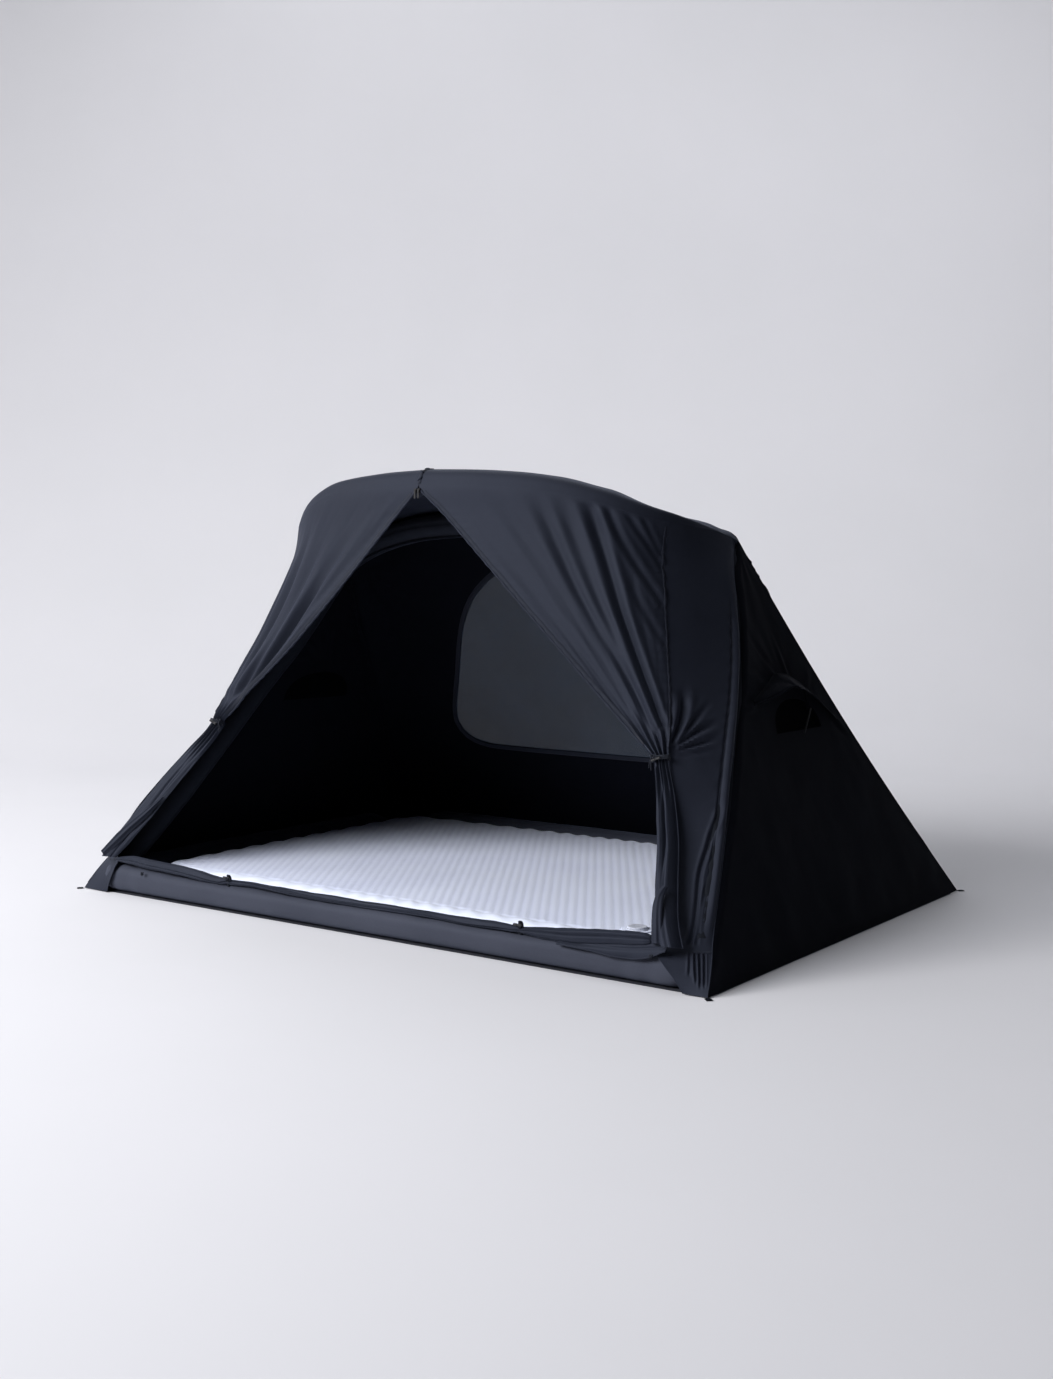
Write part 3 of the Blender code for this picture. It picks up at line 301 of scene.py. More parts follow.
def tube(name, path, radius, sides, mat, section=None, closed=False, cap=True, ref=None, uvlen=None, painted_shading=None):
    """A swept solid. section(i, w) may scale the radius around the tube; radius is one number or one per point."""
    p = np.array(path, float)
    n = len(p)
    if closed:
        tang = unit(np.roll(p, -1, 0) - np.roll(p, 1, 0))
    else:
        tang = unit(np.gradient(p, axis=0))
    ref = np.array(ref if ref is not None else ((0, 0, 1) if abs(tang[0][2]) < 0.9 else (0, 1, 0)), float)
    a = np.cross(tang[0], ref)
    a /= np.linalg.norm(a)
    rad = np.broadcast_to(np.asarray(radius, float), (n,))
    w = 2 * np.pi * np.arange(sides) / sides
    verts, uvs = [], []
    s = np.r_[0, np.cumsum(np.linalg.norm(np.diff(p, axis=0), axis=1))]
    for i in range(n):
        a = a - tang[i] * np.dot(a, tang[i])
        a /= np.linalg.norm(a)
        b = np.cross(tang[i], a)
        r = rad[i] * (section(s[i], w) if section is not None else np.ones(sides))
        verts.append(p[i] + r[:, None] * (np.cos(w)[:, None] * a + np.sin(w)[:, None] * b))
        uvs.append(np.stack([w * rad[i], np.full(sides, s[i])], 1))
    verts = np.vstack(verts)
    rows = n if closed else n - 1
    i, k = np.meshgrid(np.arange(rows), np.arange(sides), indexing="ij")
    i2, k2 = (i + 1) % n, (k + 1) % sides
    quads = np.stack([i * sides + k, i * sides + k2, i2 * sides + k2, i2 * sides + k], -1).reshape(-1, 4)
    tris, extra = [], []
    if cap and not closed:
        base = len(verts)
        verts = np.vstack([verts, p[0], p[-1]])
        uvs.append(np.array([[0, s[0]], [0, s[-1]]]))
        for k in range(sides):
            k2 = (k + 1) % sides
            tris.append((k2, k, base))
            tris.append(((n - 1) * sides + k, (n - 1) * sides + k2, base + 1))
    # the faces point outward: check one
    q = quads[len(quads) // 2]
    fn = np.cross(verts[q[1]] - verts[q[0]], verts[q[3]] - verts[q[0]])
    c = p[len(quads) // 2 // sides]
    if np.dot(fn, verts[q[0]] - c) < 0:
        quads = quads[:, ::-1]
        tris = [t[::-1] for t in tris]
    t = None
    if painted_shading is not None:
        t = np.zeros(len(verts))
        t[:n * sides] = painted_shading(s[:, None] + 0 * w[None], w[None] + 0 * s[:, None]).ravel()
    return build(name, verts, quads, mat, np.vstack(uvs), tris=tris if tris else None, painted_shading=t)


def strip(name, path, across, normal, width, thick, mat, crown=0.0, nodes=7, inset=0.0):
    """A narrow band of cloth or tape along a path, as a closed solid: across and normal are unit vectors per
    point, its back on the path's surface, its face `thick` above it and a little crowned."""
    p, x, z = np.array(path, float), unit(across), unit(normal)
    u = np.linspace(-1, 1, nodes)
    top = thick + crown * (1 - u ** 2)
    top[0] = top[-1] = thick * 0.35
    up = p[:, None] + x[:, None] * (u * width / 2)[None, :, None] + z[:, None] * top[None, :, None]
    down = p[:, None] + x[:, None] * (u * width / 2 * 0.98)[None, :, None] + z[:, None] * inset
    n, k = len(p), nodes
    verts = np.vstack([up.reshape(-1, 3), down.reshape(-1, 3)])
    s = np.r_[0, np.cumsum(np.linalg.norm(np.diff(p, axis=0), axis=1))]
    uv = np.stack(np.broadcast_arrays(u[None, :] * width / 2, s[:, None]), -1).reshape(-1, 2)
    i, j = np.meshgrid(np.arange(n - 1), np.arange(k - 1), indexing="ij")
    q = np.stack([i * k + j, i * k + j + 1, (i + 1) * k + j + 1, (i + 1) * k + j], -1).reshape(-1, 4)
    fn = np.cross(verts[q[0][1]] - verts[q[0][0]], verts[q[0][3]] - verts[q[0][0]])
    if np.dot(fn, z[0]) < 0:
        q = q[:, ::-1]
    e = np.concatenate([q[:, [0, 1]], q[:, [1, 2]], q[:, [2, 3]], q[:, [3, 0]]])
    key = np.sort(e, axis=1)
    _, inv, cnt = np.unique(key, axis=0, return_inverse=True, return_counts=True)
    rim = e[cnt[inv.ravel()] == 1]
    off = n * k
    faces = np.vstack([q, q[:, ::-1] + off, np.stack([rim[:, 1], rim[:, 0], rim[:, 0] + off, rim[:, 1] + off], 1)])
    return build(name, verts, faces, mat, np.vstack([uv, uv]))


def cut(ob, verts, faces):
    """Cut a prism out of an object and keep the result as its mesh."""
    me = bpy.data.meshes.new("cutter")
    me.from_pydata([tuple(v) for v in verts], [], [tuple(f) for f in faces])
    bm = bmesh.new()
    bm.from_mesh(me)
    bmesh.ops.recalc_face_normals(bm, faces=bm.faces)
    bm.to_mesh(me)
    bm.free()
    cutter = bpy.data.objects.new("cutter", me)
    bpy.context.scene.collection.objects.link(cutter)
    mod = ob.modifiers.new("hole", 'BOOLEAN')
    mod.operation, mod.object, mod.solver = 'DIFFERENCE', cutter, 'EXACT'
    bpy.context.view_layer.update()
    dg = bpy.context.evaluated_depsgraph_get()
    new = bpy.data.meshes.new_from_object(ob.evaluated_get(dg), depsgraph=dg)
    ob.modifiers.remove(mod)
    old = ob.data
    ob.data = new
    new.name = old.name + "_cut"
    bpy.data.objects.remove(cutter, do_unlink=True)
    new.shade_smooth()
    new.set_sharp_from_angle(angle=math.radians(50))
    return ob


def add(ob, nodes=(), body=BODY):
    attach(ob, body)
    if nodes:
        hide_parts(*nodes)
    return ob


# ------------------------------------------------------------------ materials
def new_material(name):
    mat = bpy.data.materials.new(name)
    mat.use_nodes = True
    nt = mat.node_tree
    return mat, nt, nt.nodes["Principled BSDF"]


def node(nt, kind, **settings):
    n = nt.nodes.new(kind)
    for key, value in settings.items():
        if hasattr(n, key):
            setattr(n, key, value)
        else:
            n.inputs[key].default_value = value
    return n


def ramp(nt, source, stops):
    r = nt.nodes.new("ShaderNodeValToRGB")
    while len(r.color_ramp.elements) > 1:
        r.color_ramp.elements.remove(r.color_ramp.elements[-1])
    r.color_ramp.elements[0].position = stops[0][0]
    r.color_ramp.elements[0].color = (*stops[0][1], 1)
    for pos, col in stops[1:]:
        e = r.color_ramp.elements.new(pos)
        e.color = (*col, 1)
    nt.links.new(source, r.inputs[0])
    return r.outputs[0]


def math_node(nt, op, a, b=None, clamp=False):
    m = nt.nodes.new("ShaderNodeMath")
    m.operation = op
    m.use_clamp = clamp
    for k, v in enumerate((a, b)):
        if v is None:
            continue
        if isinstance(v, (int, float)):
            m.inputs[k].default_value = v
        else:
            nt.links.new(v, m.inputs[k])
    return m.outputs[0]


def fabric(name, dark, light, rough=(0.55, 0.75), sheen=0.25, sheen_rough=0.45, sheen_tint=(0.8, 0.85, 1.0),
           pitch=0.0011, weave=0.25, rumple=0.35, rumple_size=0.03, spec=0.4, painted_shading_gain=0.0, rib=0.0, spec_tint=(0.68, 0.77, 1.0)):
    """Woven cloth: two thread directions in metres of UV, colour that drifts over the cloth and at thread scale,
    fine rumpling, and a soft sheen. A per-vertex number on the mesh, times a gain, paints shade into fold valleys and a
    highlight onto the crests."""
    mat, nt, bsdf = new_material(name)
    uvn = node(nt, "ShaderNodeTexCoord")
    obj = uvn.outputs["Object"]
    uv = uvn.outputs["UV"]
    k = 2 * math.pi / (20 * pitch)
    wx = node(nt, "ShaderNodeTexWave", wave_type='BANDS', bands_direction='X', Scale=k, Distortion=0.6)
    wx.inputs["Detail"].default_value = 1.0
    wx.inputs["Detail Scale"].default_value = 0.25
    wy = node(nt, "ShaderNodeTexWave", wave_type='BANDS', bands_direction='Y', Scale=k, Distortion=0.6)
    wy.inputs["Detail"].default_value = 1.0
    wy.inputs["Detail Scale"].default_value = 0.25
    nt.links.new(uv, wx.inputs["Vector"])
    nt.links.new(uv, wy.inputs["Vector"])
    threads = math_node(nt, 'MULTIPLY', wx.outputs["Fac"], wy.outputs["Fac"])
    drift = node(nt, "ShaderNodeTexNoise", Scale=2.6, Detail=4.0, Roughness=0.55)
    nt.links.new(obj, drift.inputs["Vector"])
    slub = node(nt, "ShaderNodeTexNoise", Scale=260.0, Detail=2.0, Roughness=0.6)
    nt.links.new(obj, slub.inputs["Vector"])
    mixed = math_node(nt, 'ADD', math_node(nt, 'MULTIPLY', drift.outputs["Fac"], 0.70),
                      math_node(nt, 'MULTIPLY', slub.outputs["Fac"], 0.30))
    # painted shading: the mesh's per-vertex number darkens fold valleys and hollows and lightens crests in the colour
    if painted_shading_gain:
        att = node(nt, "ShaderNodeAttribute", attribute_name="painted_shading")
        mixed = math_node(nt, 'ADD', mixed, math_node(nt, 'MULTIPLY', att.outputs["Fac"], painted_shading_gain))
    col = ramp(nt, mixed, [(0.28, dark), (0.72, light)])
    shade = node(nt, "ShaderNodeMix", data_type='RGBA', blend_type='MULTIPLY')
    shade.inputs[0].default_value = 0.22
    nt.links.new(col, shade.inputs[6])
    nt.links.new(threads, shade.inputs[7])
    nt.links.new(shade.outputs[2], bsdf.inputs["Base Color"])
    mr = node(nt, "ShaderNodeMapRange")
    mr.inputs["To Min"].default_value, mr.inputs["To Max"].default_value = rough
    nt.links.new(mixed, mr.inputs["Value"])
    nt.links.new(mr.outputs[0], bsdf.inputs["Roughness"])
    rum = node(nt, "ShaderNodeTexNoise", Scale=1.0 / rumple_size, Detail=4.0, Roughness=0.62)
    nt.links.new(obj, rum.inputs["Vector"])
    b1 = node(nt, "ShaderNodeBump", Strength=rumple, Distance=0.004)
    nt.links.new(rum.outputs["Fac"], b1.inputs["Height"])
    b2 = node(nt, "ShaderNodeBump", Strength=weave, Distance=0.0004)
    nt.links.new(threads, b2.inputs["Height"])
    nt.links.new(b1.outputs[0], b2.inputs["Normal"])
    last = b2
    if rib:
        wr = node(nt, "ShaderNodeTexWave", wave_type='BANDS', bands_direction='X', Scale=2 * math.pi / (20 * rib))
        nt.links.new(uv, wr.inputs["Vector"])
        b3 = node(nt, "ShaderNodeBump", Strength=0.5, Distance=0.001)
        nt.links.new(wr.outputs["Fac"], b3.inputs["Height"])
        nt.links.new(b2.outputs[0], b3.inputs["Normal"])
        last = b3
    nt.links.new(last.outputs[0], bsdf.inputs["Normal"])
    bsdf.inputs["Sheen Weight"].default_value = sheen
    bsdf.inputs["Sheen Roughness"].default_value = sheen_rough
    bsdf.inputs["Sheen Tint"].default_value = (*sheen_tint, 1)
    bsdf.inputs["Specular IOR Level"].default_value = spec
    bsdf.inputs["Specular Tint"].default_value = (*spec_tint, 1)
    mat.diffuse_color = (*light, 1)
    return mat


def plastic(name, colour, rough=0.4, grain=0.15, metallic=0.0, coat=0.0):
    mat, nt, bsdf = new_material(name)
    tc = node(nt, "ShaderNodeTexCoord")
    n1 = node(nt, "ShaderNodeTexNoise", Scale=1400.0, Detail=2.0)
    nt.links.new(tc.outputs["Object"], n1.inputs["Vector"])
    n2 = node(nt, "ShaderNodeTexNoise", Scale=40.0, Detail=5.0, Roughness=0.7)
    nt.links.new(tc.outputs["Object"], n2.inputs["Vector"])
    lo = tuple(c * 0.75 for c in colour)
    hi = tuple(min(1, c * 1.35 + 0.004) for c in colour)
    nt.links.new(ramp(nt, n2.outputs["Fac"], [(0.35, lo), (0.7, hi)]), bsdf.inputs["Base Color"])
    mr = node(nt, "ShaderNodeMapRange")
    mr.inputs["To Min"].default_value, mr.inputs["To Max"].default_value = rough * 0.8, min(1, rough * 1.3)
    nt.links.new(n2.outputs["Fac"], mr.inputs["Value"])
    nt.links.new(mr.outputs[0], bsdf.inputs["Roughness"])
    b = node(nt, "ShaderNodeBump", Strength=grain, Distance=0.0002)
    nt.links.new(n1.outputs["Fac"], b.inputs["Height"])
    nt.links.new(b.outputs[0], bsdf.inputs["Normal"])
    bsdf.inputs["Metallic"].default_value = metallic
    bsdf.inputs["Coat Weight"].default_value = coat
    mat.diffuse_color = (*colour, 1)
    return mat


def stitched(name, dark, light, thread, pitch=0.0042, row=0.0030, width=0.0007, weave_pitch=0.0008, sheen=0.06):
    """Narrow seam tape with a row of stitches on each side of its middle (UV: across, along, in metres)."""
    mat, nt, bsdf = new_material(name)
    tc = node(nt, "ShaderNodeTexCoord")
    sep = node(nt, "ShaderNodeSeparateXYZ")
    nt.links.new(tc.outputs["UV"], sep.inputs[0])
    x, y = sep.outputs[0], sep.outputs[1]
    ax = math_node(nt, 'ABSOLUTE', x)
    d = math_node(nt, 'ABSOLUTE', math_node(nt, 'SUBTRACT', ax, row))
    line = math_node(nt, 'SUBTRACT', 1.0, math_node(nt, 'DIVIDE', d, width), clamp=True)
    ph = math_node(nt, 'SINE', math_node(nt, 'MULTIPLY', y, 2 * math.pi / pitch))
    dash = math_node(nt, 'MULTIPLY', math_node(nt, 'ADD', ph, 0.35), 2.2, clamp=True)
    stitch = math_node(nt, 'MULTIPLY', line, dash)
    k = 2 * math.pi / (20 * weave_pitch)
    wx = node(nt, "ShaderNodeTexWave", bands_direction='DIAGONAL', Scale=k)
    nt.links.new(tc.outputs["UV"], wx.inputs["Vector"])
    n = node(nt, "ShaderNodeTexNoise", Scale=60.0, Detail=3.0)
    nt.links.new(tc.outputs["Object"], n.inputs["Vector"])
    base = ramp(nt, n.outputs["Fac"], [(0.3, dark), (0.7, light)])
    mix = node(nt, "ShaderNodeMix", data_type='RGBA')
    nt.links.new(stitch, mix.inputs[0])
    nt.links.new(base, mix.inputs[6])
    mix.inputs[7].default_value = (*thread, 1)
    nt.links.new(mix.outputs[2], bsdf.inputs["Base Color"])
    mr = node(nt, "ShaderNodeMapRange")
    mr.inputs["To Min"].default_value, mr.inputs["To Max"].default_value = 0.55, 0.8
    nt.links.new(n.outputs["Fac"], mr.inputs["Value"])
    nt.links.new(mr.outputs[0], bsdf.inputs["Roughness"])
    b1 = node(nt, "ShaderNodeBump", Strength=0.3, Distance=0.0004)
    nt.links.new(wx.outputs["Fac"], b1.inputs["Height"])
    b2 = node(nt, "ShaderNodeBump", Strength=0.8, Distance=0.0008)
    nt.links.new(stitch, b2.inputs["Height"])
    nt.links.new(b1.outputs[0], b2.inputs["Normal"])
    nt.links.new(b2.outputs[0], bsdf.inputs["Normal"])
    bsdf.inputs["Sheen Weight"].default_value = sheen
    bsdf.inputs["Specular IOR Level"].default_value = 0.28
    bsdf.inputs["Specular Tint"].default_value = (0.68, 0.77, 1.0, 1)
    mat.diffuse_color = (*light, 1)
    return mat


CANOPY_DARK, CANOPY_LIGHT = (0.0070, 0.0082, 0.0145), (0.0140, 0.0160, 0.0265)
# canopy cloth: a small gain of painted shading, fold valleys darker and crests lighter
M_CANOPY = fabric("canopy_cloth", CANOPY_DARK, CANOPY_LIGHT, rough=(0.60, 0.76), sheen=0.10, painted_shading_gain=0.08,
                  sheen_tint=(0.60, 0.70, 1.0), spec=0.34, rumple=0.16, weave=0.18)
# a darker, duller copy of the canopy cloth with little specular or sheen: painted shade for the side walls, back wall
# and vent hoods that face away from the key light, and for the small parts made of it; it also carries painted shading
# on fold crests and valleys
M_WALL_PAINTED_SHADE = fabric("wall_cloth_painted_shade", (0.0022, 0.0025, 0.0044), (0.0040, 0.0045, 0.0076), rough=(0.70, 0.86), sheen=0.02, painted_shading_gain=0.10,
                sheen_tint=(0.60, 0.70, 1.0), spec=0.06, rumple=0.16, weave=0.18)
# the canopy cloth made several times lighter with little specular: painted light on the base sleeves, whose sill faces
# the key light
M_TUBE_PAINTED_LIGHT = fabric("tube_cloth", (0.0400, 0.0440, 0.0610), (0.0620, 0.0670, 0.0900), rough=(0.64, 0.80), sheen=0.10,
                sheen_tint=(0.60, 0.70, 1.0), spec=0.24, rumple=0.12, rumple_size=0.05, weave=0.18)
# dark-to-light cloth whose colour follows the per-vertex shading number with a large gain: painted shade on the arch
# legs, painted light on the crossbar
M_ARCH_PAINTED_SHADE = fabric("arch_tube_cloth_painted_shade", (0.0030, 0.0034, 0.0052), (0.0230, 0.0255, 0.0350), rough=(0.66, 0.82), sheen=0.04, painted_shading_gain=0.50,
                sheen_tint=(0.60, 0.70, 1.0), spec=0.26, rumple=0.12, rumple_size=0.05, weave=0.18)
M_FLOOR = fabric("ground_sheet_cloth", (0.012, 0.013, 0.017), (0.019, 0.020, 0.026), rough=(0.45, 0.6), sheen=0.1,
                 pitch=0.0016)
M_SEAM = stitched("seam_tape", (0.0075, 0.0088, 0.0150), (0.0135, 0.0155, 0.0255), (0.018, 0.021, 0.033), pitch=0.0030,
                  row=0.0022, width=0.0005)
M_WEB = stitched("webbing_tape", (0.0080, 0.0090, 0.0140), (0.0130, 0.0145, 0.0220), (0.018, 0.020, 0.029), pitch=0.0034,
                 row=0.0062, width=0.0005, weave_pitch=0.0014)
M_HARD = plastic("black_moulding", (0.012, 0.012, 0.014), 0.38)
M_GREY = plastic("grey_moulding", (0.30, 0.31, 0.33), 0.45)
M_ZIP = plastic("black_lacquered_metal", (0.010, 0.010, 0.012), 0.42, metallic=0.5, coat=0.1)
M_CORD = fabric("braided_cord", (0.010, 0.011, 0.015), (0.024, 0.026, 0.034), pitch=0.0016, weave=0.8, rumple=0.1, sheen=0.05, spec=0.25)
# a darker, rougher copy of the black moulding: painted shade on the vent strut under the hood
M_INK_PAINTED_SHADE = plastic("painted_shade_moulding", (0.0035, 0.0040, 0.0055), 0.75)
M_PALE = plastic("pale_moulding", (0.62, 0.65, 0.76), 0.45)

# ------------------------------------------------------------------ camera, floor, light
CAM = np.array([3.0932, -4.291, 1.0621])
YAW, PITCH, ROLL = 0.6211, 0.078, 0.0027
fwd = np.array([-math.sin(YAW) * math.cos(PITCH), math.cos(YAW) * math.cos(PITCH), -math.sin(PITCH)])
rgt = np.array([math.cos(YAW), math.sin(YAW), 0.0])
upw = np.cross(rgt, fwd)
r2 = math.cos(ROLL) * rgt + math.sin(ROLL) * upw
u2 = -math.sin(ROLL) * rgt + math.cos(ROLL) * upw
cam_data = bpy.data.cameras.new("camera")
cam_data.sensor_width = 36.0
cam_data.sensor_fit = 'AUTO'
cam_data.lens = 1658.83 / 1379 * 36.0
cam_data.clip_end = 100
camera = bpy.data.objects.new("camera", cam_data)
rot = Matrix((tuple(r2), tuple(u2), tuple(-fwd))).transposed()
camera.matrix_world = Matrix.Translation(CAM) @ rot.to_4x4()
bpy.context.scene.collection.objects.link(camera)
bpy.context.scene.camera = camera

mat_floor, nt, bsdf = new_material("studio_paper")
tc = node(nt, "ShaderNodeTexCoord")
ns = node(nt, "ShaderNodeTexNoise", Scale=1.2, Detail=3.0)
nt.links.new(tc.outputs["Object"], ns.inputs["Vector"])
nt.links.new(ramp(nt, ns.outputs["Fac"], [(0.3, (0.735, 0.735, 0.765)), (0.7, (0.750, 0.748, 0.780))]),
             bsdf.inputs["Base Color"])
bsdf.inputs["Roughness"].default_value = 0.9
bsdf.inputs["Specular IOR Level"].default_value = 0.2

# a sweep: the floor runs back and turns up into a backdrop, square to the camera
prof = [(-9.0, 0.0)] + [(x, 0.0) for x in np.linspace(-5, 3.0, 9)]
R = 3.2
prof += [(3.0 + R * math.sin(a), R - R * math.cos(a)) for a in np.linspace(0.08, math.pi / 2, 20)]
prof += [(3.0 + R, z) for z in (4.5, 6.5, 9.0)]
verts, quads = [], []
for along, z in prof:
    for across in (-14.0, -7.0, 0.0, 7.0, 14.0):
        q = np.array([0.0, 0.0, z]) + np.array([-math.sin(YAW), math.cos(YAW), 0]) * along + rgt * across
        verts.append(q)
for i in range(len(prof) - 1):
    for j in range(4):
        quads.append((i * 5 + j, i * 5 + j + 1, (i + 1) * 5 + j + 1, (i + 1) * 5 + j))
floor = build("studio_floor", verts, quads, mat_floor)


def area_light(name, at, look, size, power, colour=(1, 1, 1), spread=180):
    ld = bpy.data.lights.new(name, 'AREA')
    ld.shape = 'RECTANGLE'
    ld.size, ld.size_y = size
    ld.energy = power
    ld.color = colour
    ld.spread = math.radians(spread)
    ob = bpy.data.objects.new(name, ld)
    d = Vector(look) - Vector(at)
    ob.matrix_world = Matrix.Translation(at) @ d.to_track_quat('-Z', 'Y').to_matrix().to_4x4()
    bpy.context.scene.collection.objects.link(ob)
    return ob


world = bpy.data.worlds.new("studio")
world.use_nodes = True
world.node_tree.nodes["Background"].inputs[0].default_value = (0.80, 0.84, 0.95, 1)
world.node_tree.nodes["Background"].inputs[1].default_value = 0.05
bpy.context.scene.world = world
bpy.context.scene.view_settings.view_transform = 'Standard'
bpy.context.scene.view_settings.look = 'None'
area_light("key", (-4.3, -6.4, 4.4), (-0.2, 0.0, 0.45), (3.6, 3.0), 568, (1.0, 0.99, 0.99))
area_light("front_fill", (-1.2, -7.2, 4.6), (0.2, -2.6, 0.0), (3.0, 3.0), 113, (0.955, 0.965, 1.0), spread=100)
area_light("left_floor", (-6.0, -2.0, 3.6), (-3.2, 2.0, 0.0), (3.0, 3.0), 35, (0.98, 0.98, 1.0), spread=120)
area_light("overhead", (-2.0, 1.6, 6.4), (-1.4, 1.6, 0.0), (6.0, 6.0), 154, (0.97, 0.98, 1.0))
area_light("backdrop_wash", (1.6, 3.2, 5.6), (-0.4, 7.6, 2.0), (3.5, 2.5), 46, (0.98, 0.98, 1.0), spread=120)

# ------------------------------------------------------------------ canopy lines
NC = 109                                # samples on each half line from the shoulder to the middle
HEAD = 30                               # where the door seam meets the brow
visor_half = spline(VISOR_LINE, NC)


def brow_of(line):
    tangent = np.gradient(line, axis=0)
    out = np.stack([-tangent[:, 1], tangent[:, 0], np.zeros(len(line))], 1)
    out = unit(out)
    out[out[:, 1] > 0] *= -1
    along = np.r_[0, np.cumsum(np.linalg.norm(np.diff(line, axis=0), axis=1))]
    w = step(0, 0.42, along / along[-1])[:, None]
    return line + w * (out * 0.050 + np.array([0, 0, -0.043]))


brow_half = brow_of(visor_half)
brow_half[-1, 0] = 0.0
crown_half = spline(CROWN_LINE, NC)
back_half = spline(CROWN_BACK, NC)
visor, brow, crown, crown_back = whole(visor_half), whole(brow_half), whole(crown_half), whole(back_half)
arch_skin = spline(ARCH_LINE, 241)
seam_skin = spline(SEAM_LINE + [tuple(brow_half[HEAD])], 241)
tail_skin = {1: spline(TAIL_RIGHT, 241), -1: spline(TAIL_LINE, 241)}


def rear_line(count):
    p = np.linspace(0, 1, count)[:, None]
    q = np.array([HX, HY, 0.0]) * (1 - p) + np.array(SHOULDER) * p
    s = np.sin(np.pi * p[:, 0])
    q[:, 0] -= s * REAR_SAG[0]
    q[:, 1] -= s * REAR_SAG[1]
    return q


def settle(g):
    """The left shoulder of the canopy hangs a little lower and rounder than the right one."""
    g = np.array(g, float)
    x, y, z = g[..., 0], g[..., 1], g[..., 2]
    w = step(0.36, 0.80, -x) * step(0.60, 1.15, z) * step(0.30, -0.10, y)
    g[..., 2] = z - 0.034 * w
    g[..., 0] = x + 0.032 * w
    return g


# ------------------------------------------------------------------ where a point of the model lies in the photograph
def project(p):
    d = np.asarray(p, float) - CAM
    z = d @ fwd
    return 526.5 + 1658.83 * (d @ r2) / z, 689.5 - 1658.83 * (d @ u2) / z


def on_plane(px, py, y):
    """The point of the plane at depth y that lies at (px, py) in the photograph."""
    d = fwd + r2 * (px - 526.5) / 1658.83 - u2 * (py - 689.5) / 1658.83
    return CAM + (y - CAM[1]) / d[1] * d


def smooth_line(points, count=60):
    return spline([(x, y, 0.0) for x, y in points], count)[:, :2]


def line_field(px, py, points):
    """Signed distance in pixels to a smooth line and the share of its length at the nearest point."""
    pts = smooth_line(points)
    s = np.r_[0, np.cumsum(np.linalg.norm(np.diff(pts, axis=0), axis=1))]
    best = np.full(px.shape, 1e9)
    sign = np.ones(px.shape)
    along = np.zeros(px.shape)
    for i in range(len(pts) - 1):
        x0, y0 = pts[i]
        dx, dy = pts[i + 1] - pts[i]
        t = np.clip(((px - x0) * dx + (py - y0) * dy) / (dx * dx + dy * dy), 0, 1)
        ex, ey = px - x0 - t * dx, py - y0 - t * dy
        d = np.hypot(ex, ey)
        m = d < best
        best = np.where(m, d, best)
        sign = np.where(m, np.sign(dx * ey - dy * ex), sign)
        along = np.where(m, (s[i] + t * np.linalg.norm([dx, dy])) / s[-1], along)
    return best * sign, along


def fold(px, py, points, depth, width, fade=(0.12, 0.12), lips=0.55, width2=None, lean=0.0):
    """A fold that runs along a line: a rounded valley with raised lips; depth in metres, width in pixels."""
    d, a = line_field(px, py, points)
    w = width if width2 is None else width + (width2 - width) * a
    amp = depth * step(0, fade[0] + 1e-6, a) * step(1, 1 - fade[1] - 1e-6, a)
    x = d / w
    valley = -np.exp(-x ** 2)
    lip = lips * (np.exp(-((x - 1.8) / 1.0) ** 2) * (1 + lean) + np.exp(-((x + 1.8) / 1.0) ** 2) * (1 - lean))
    return amp * (valley + lip)


rear_c = rear_line(241)
axis_fine = spline(ARCH_AXIS, 241)


def toward_axis(curve_pts):
    """Unit vectors from points on the arch's skin line to the nearest point of the tube's axis."""
    d = axis_fine[None] - np.asarray(curve_pts)[:, None]
    k = np.argmin(np.linalg.norm(d, axis=2), axis=1)
    return unit(d[np.arange(len(curve_pts)), k])


def wrap_arch(g, col_arch, amount=0.0125, reach=0.039):
    """Round the cloth over the arch tube next to the grid column that lies on the arch's skin line."""
    edge = g[:, col_arch]
    inward = toward_axis(edge)
    d = np.linalg.norm(g - edge[:, None], axis=2)
    width = np.linalg.norm(g[:, 0] - g[:, -1], axis=1)
    T = np.minimum(reach, 0.45 * width + 1e-4)[:, None]
    amp = amount * (T / reach) * step(0.01, 0.16, edge[:, 2:3])
    return g + inward[:, None] * (amp * np.clip(1 - d / T, 0, 1) ** 2)[..., None]


def edge_distance(g, axis=1):
    """Distance of every grid point from the first and from the last line across the grid."""
    seg = np.linalg.norm(np.diff(g, axis=axis), axis=2)
    if axis == 1:
        c = np.concatenate([np.zeros((g.shape[0], 1)), np.cumsum(seg, axis=1)], axis=1)
        return c, c[:, -1:] - c
    c = np.concatenate([np.zeros((1, g.shape[1])), np.cumsum(seg, axis=0)], axis=0)
    return c, c[-1:] - c


def surface_strip(name, pts, nrm, width, thick, mat, crown=0.0, across=None, nodes=7, nodes_to=()):
    """A strip that lies on a surface along pts with the surface normals nrm."""
    pts = np.asarray(pts, float)
    t = unit(np.gradient(pts, axis=0))
    if across is None:
        across = unit(np.cross(nrm, t))
    ob = strip(name, pts, across, nrm, width, thick, mat, crown=crown, nodes=nodes)
    add(ob, list(nodes_to))
    return ob


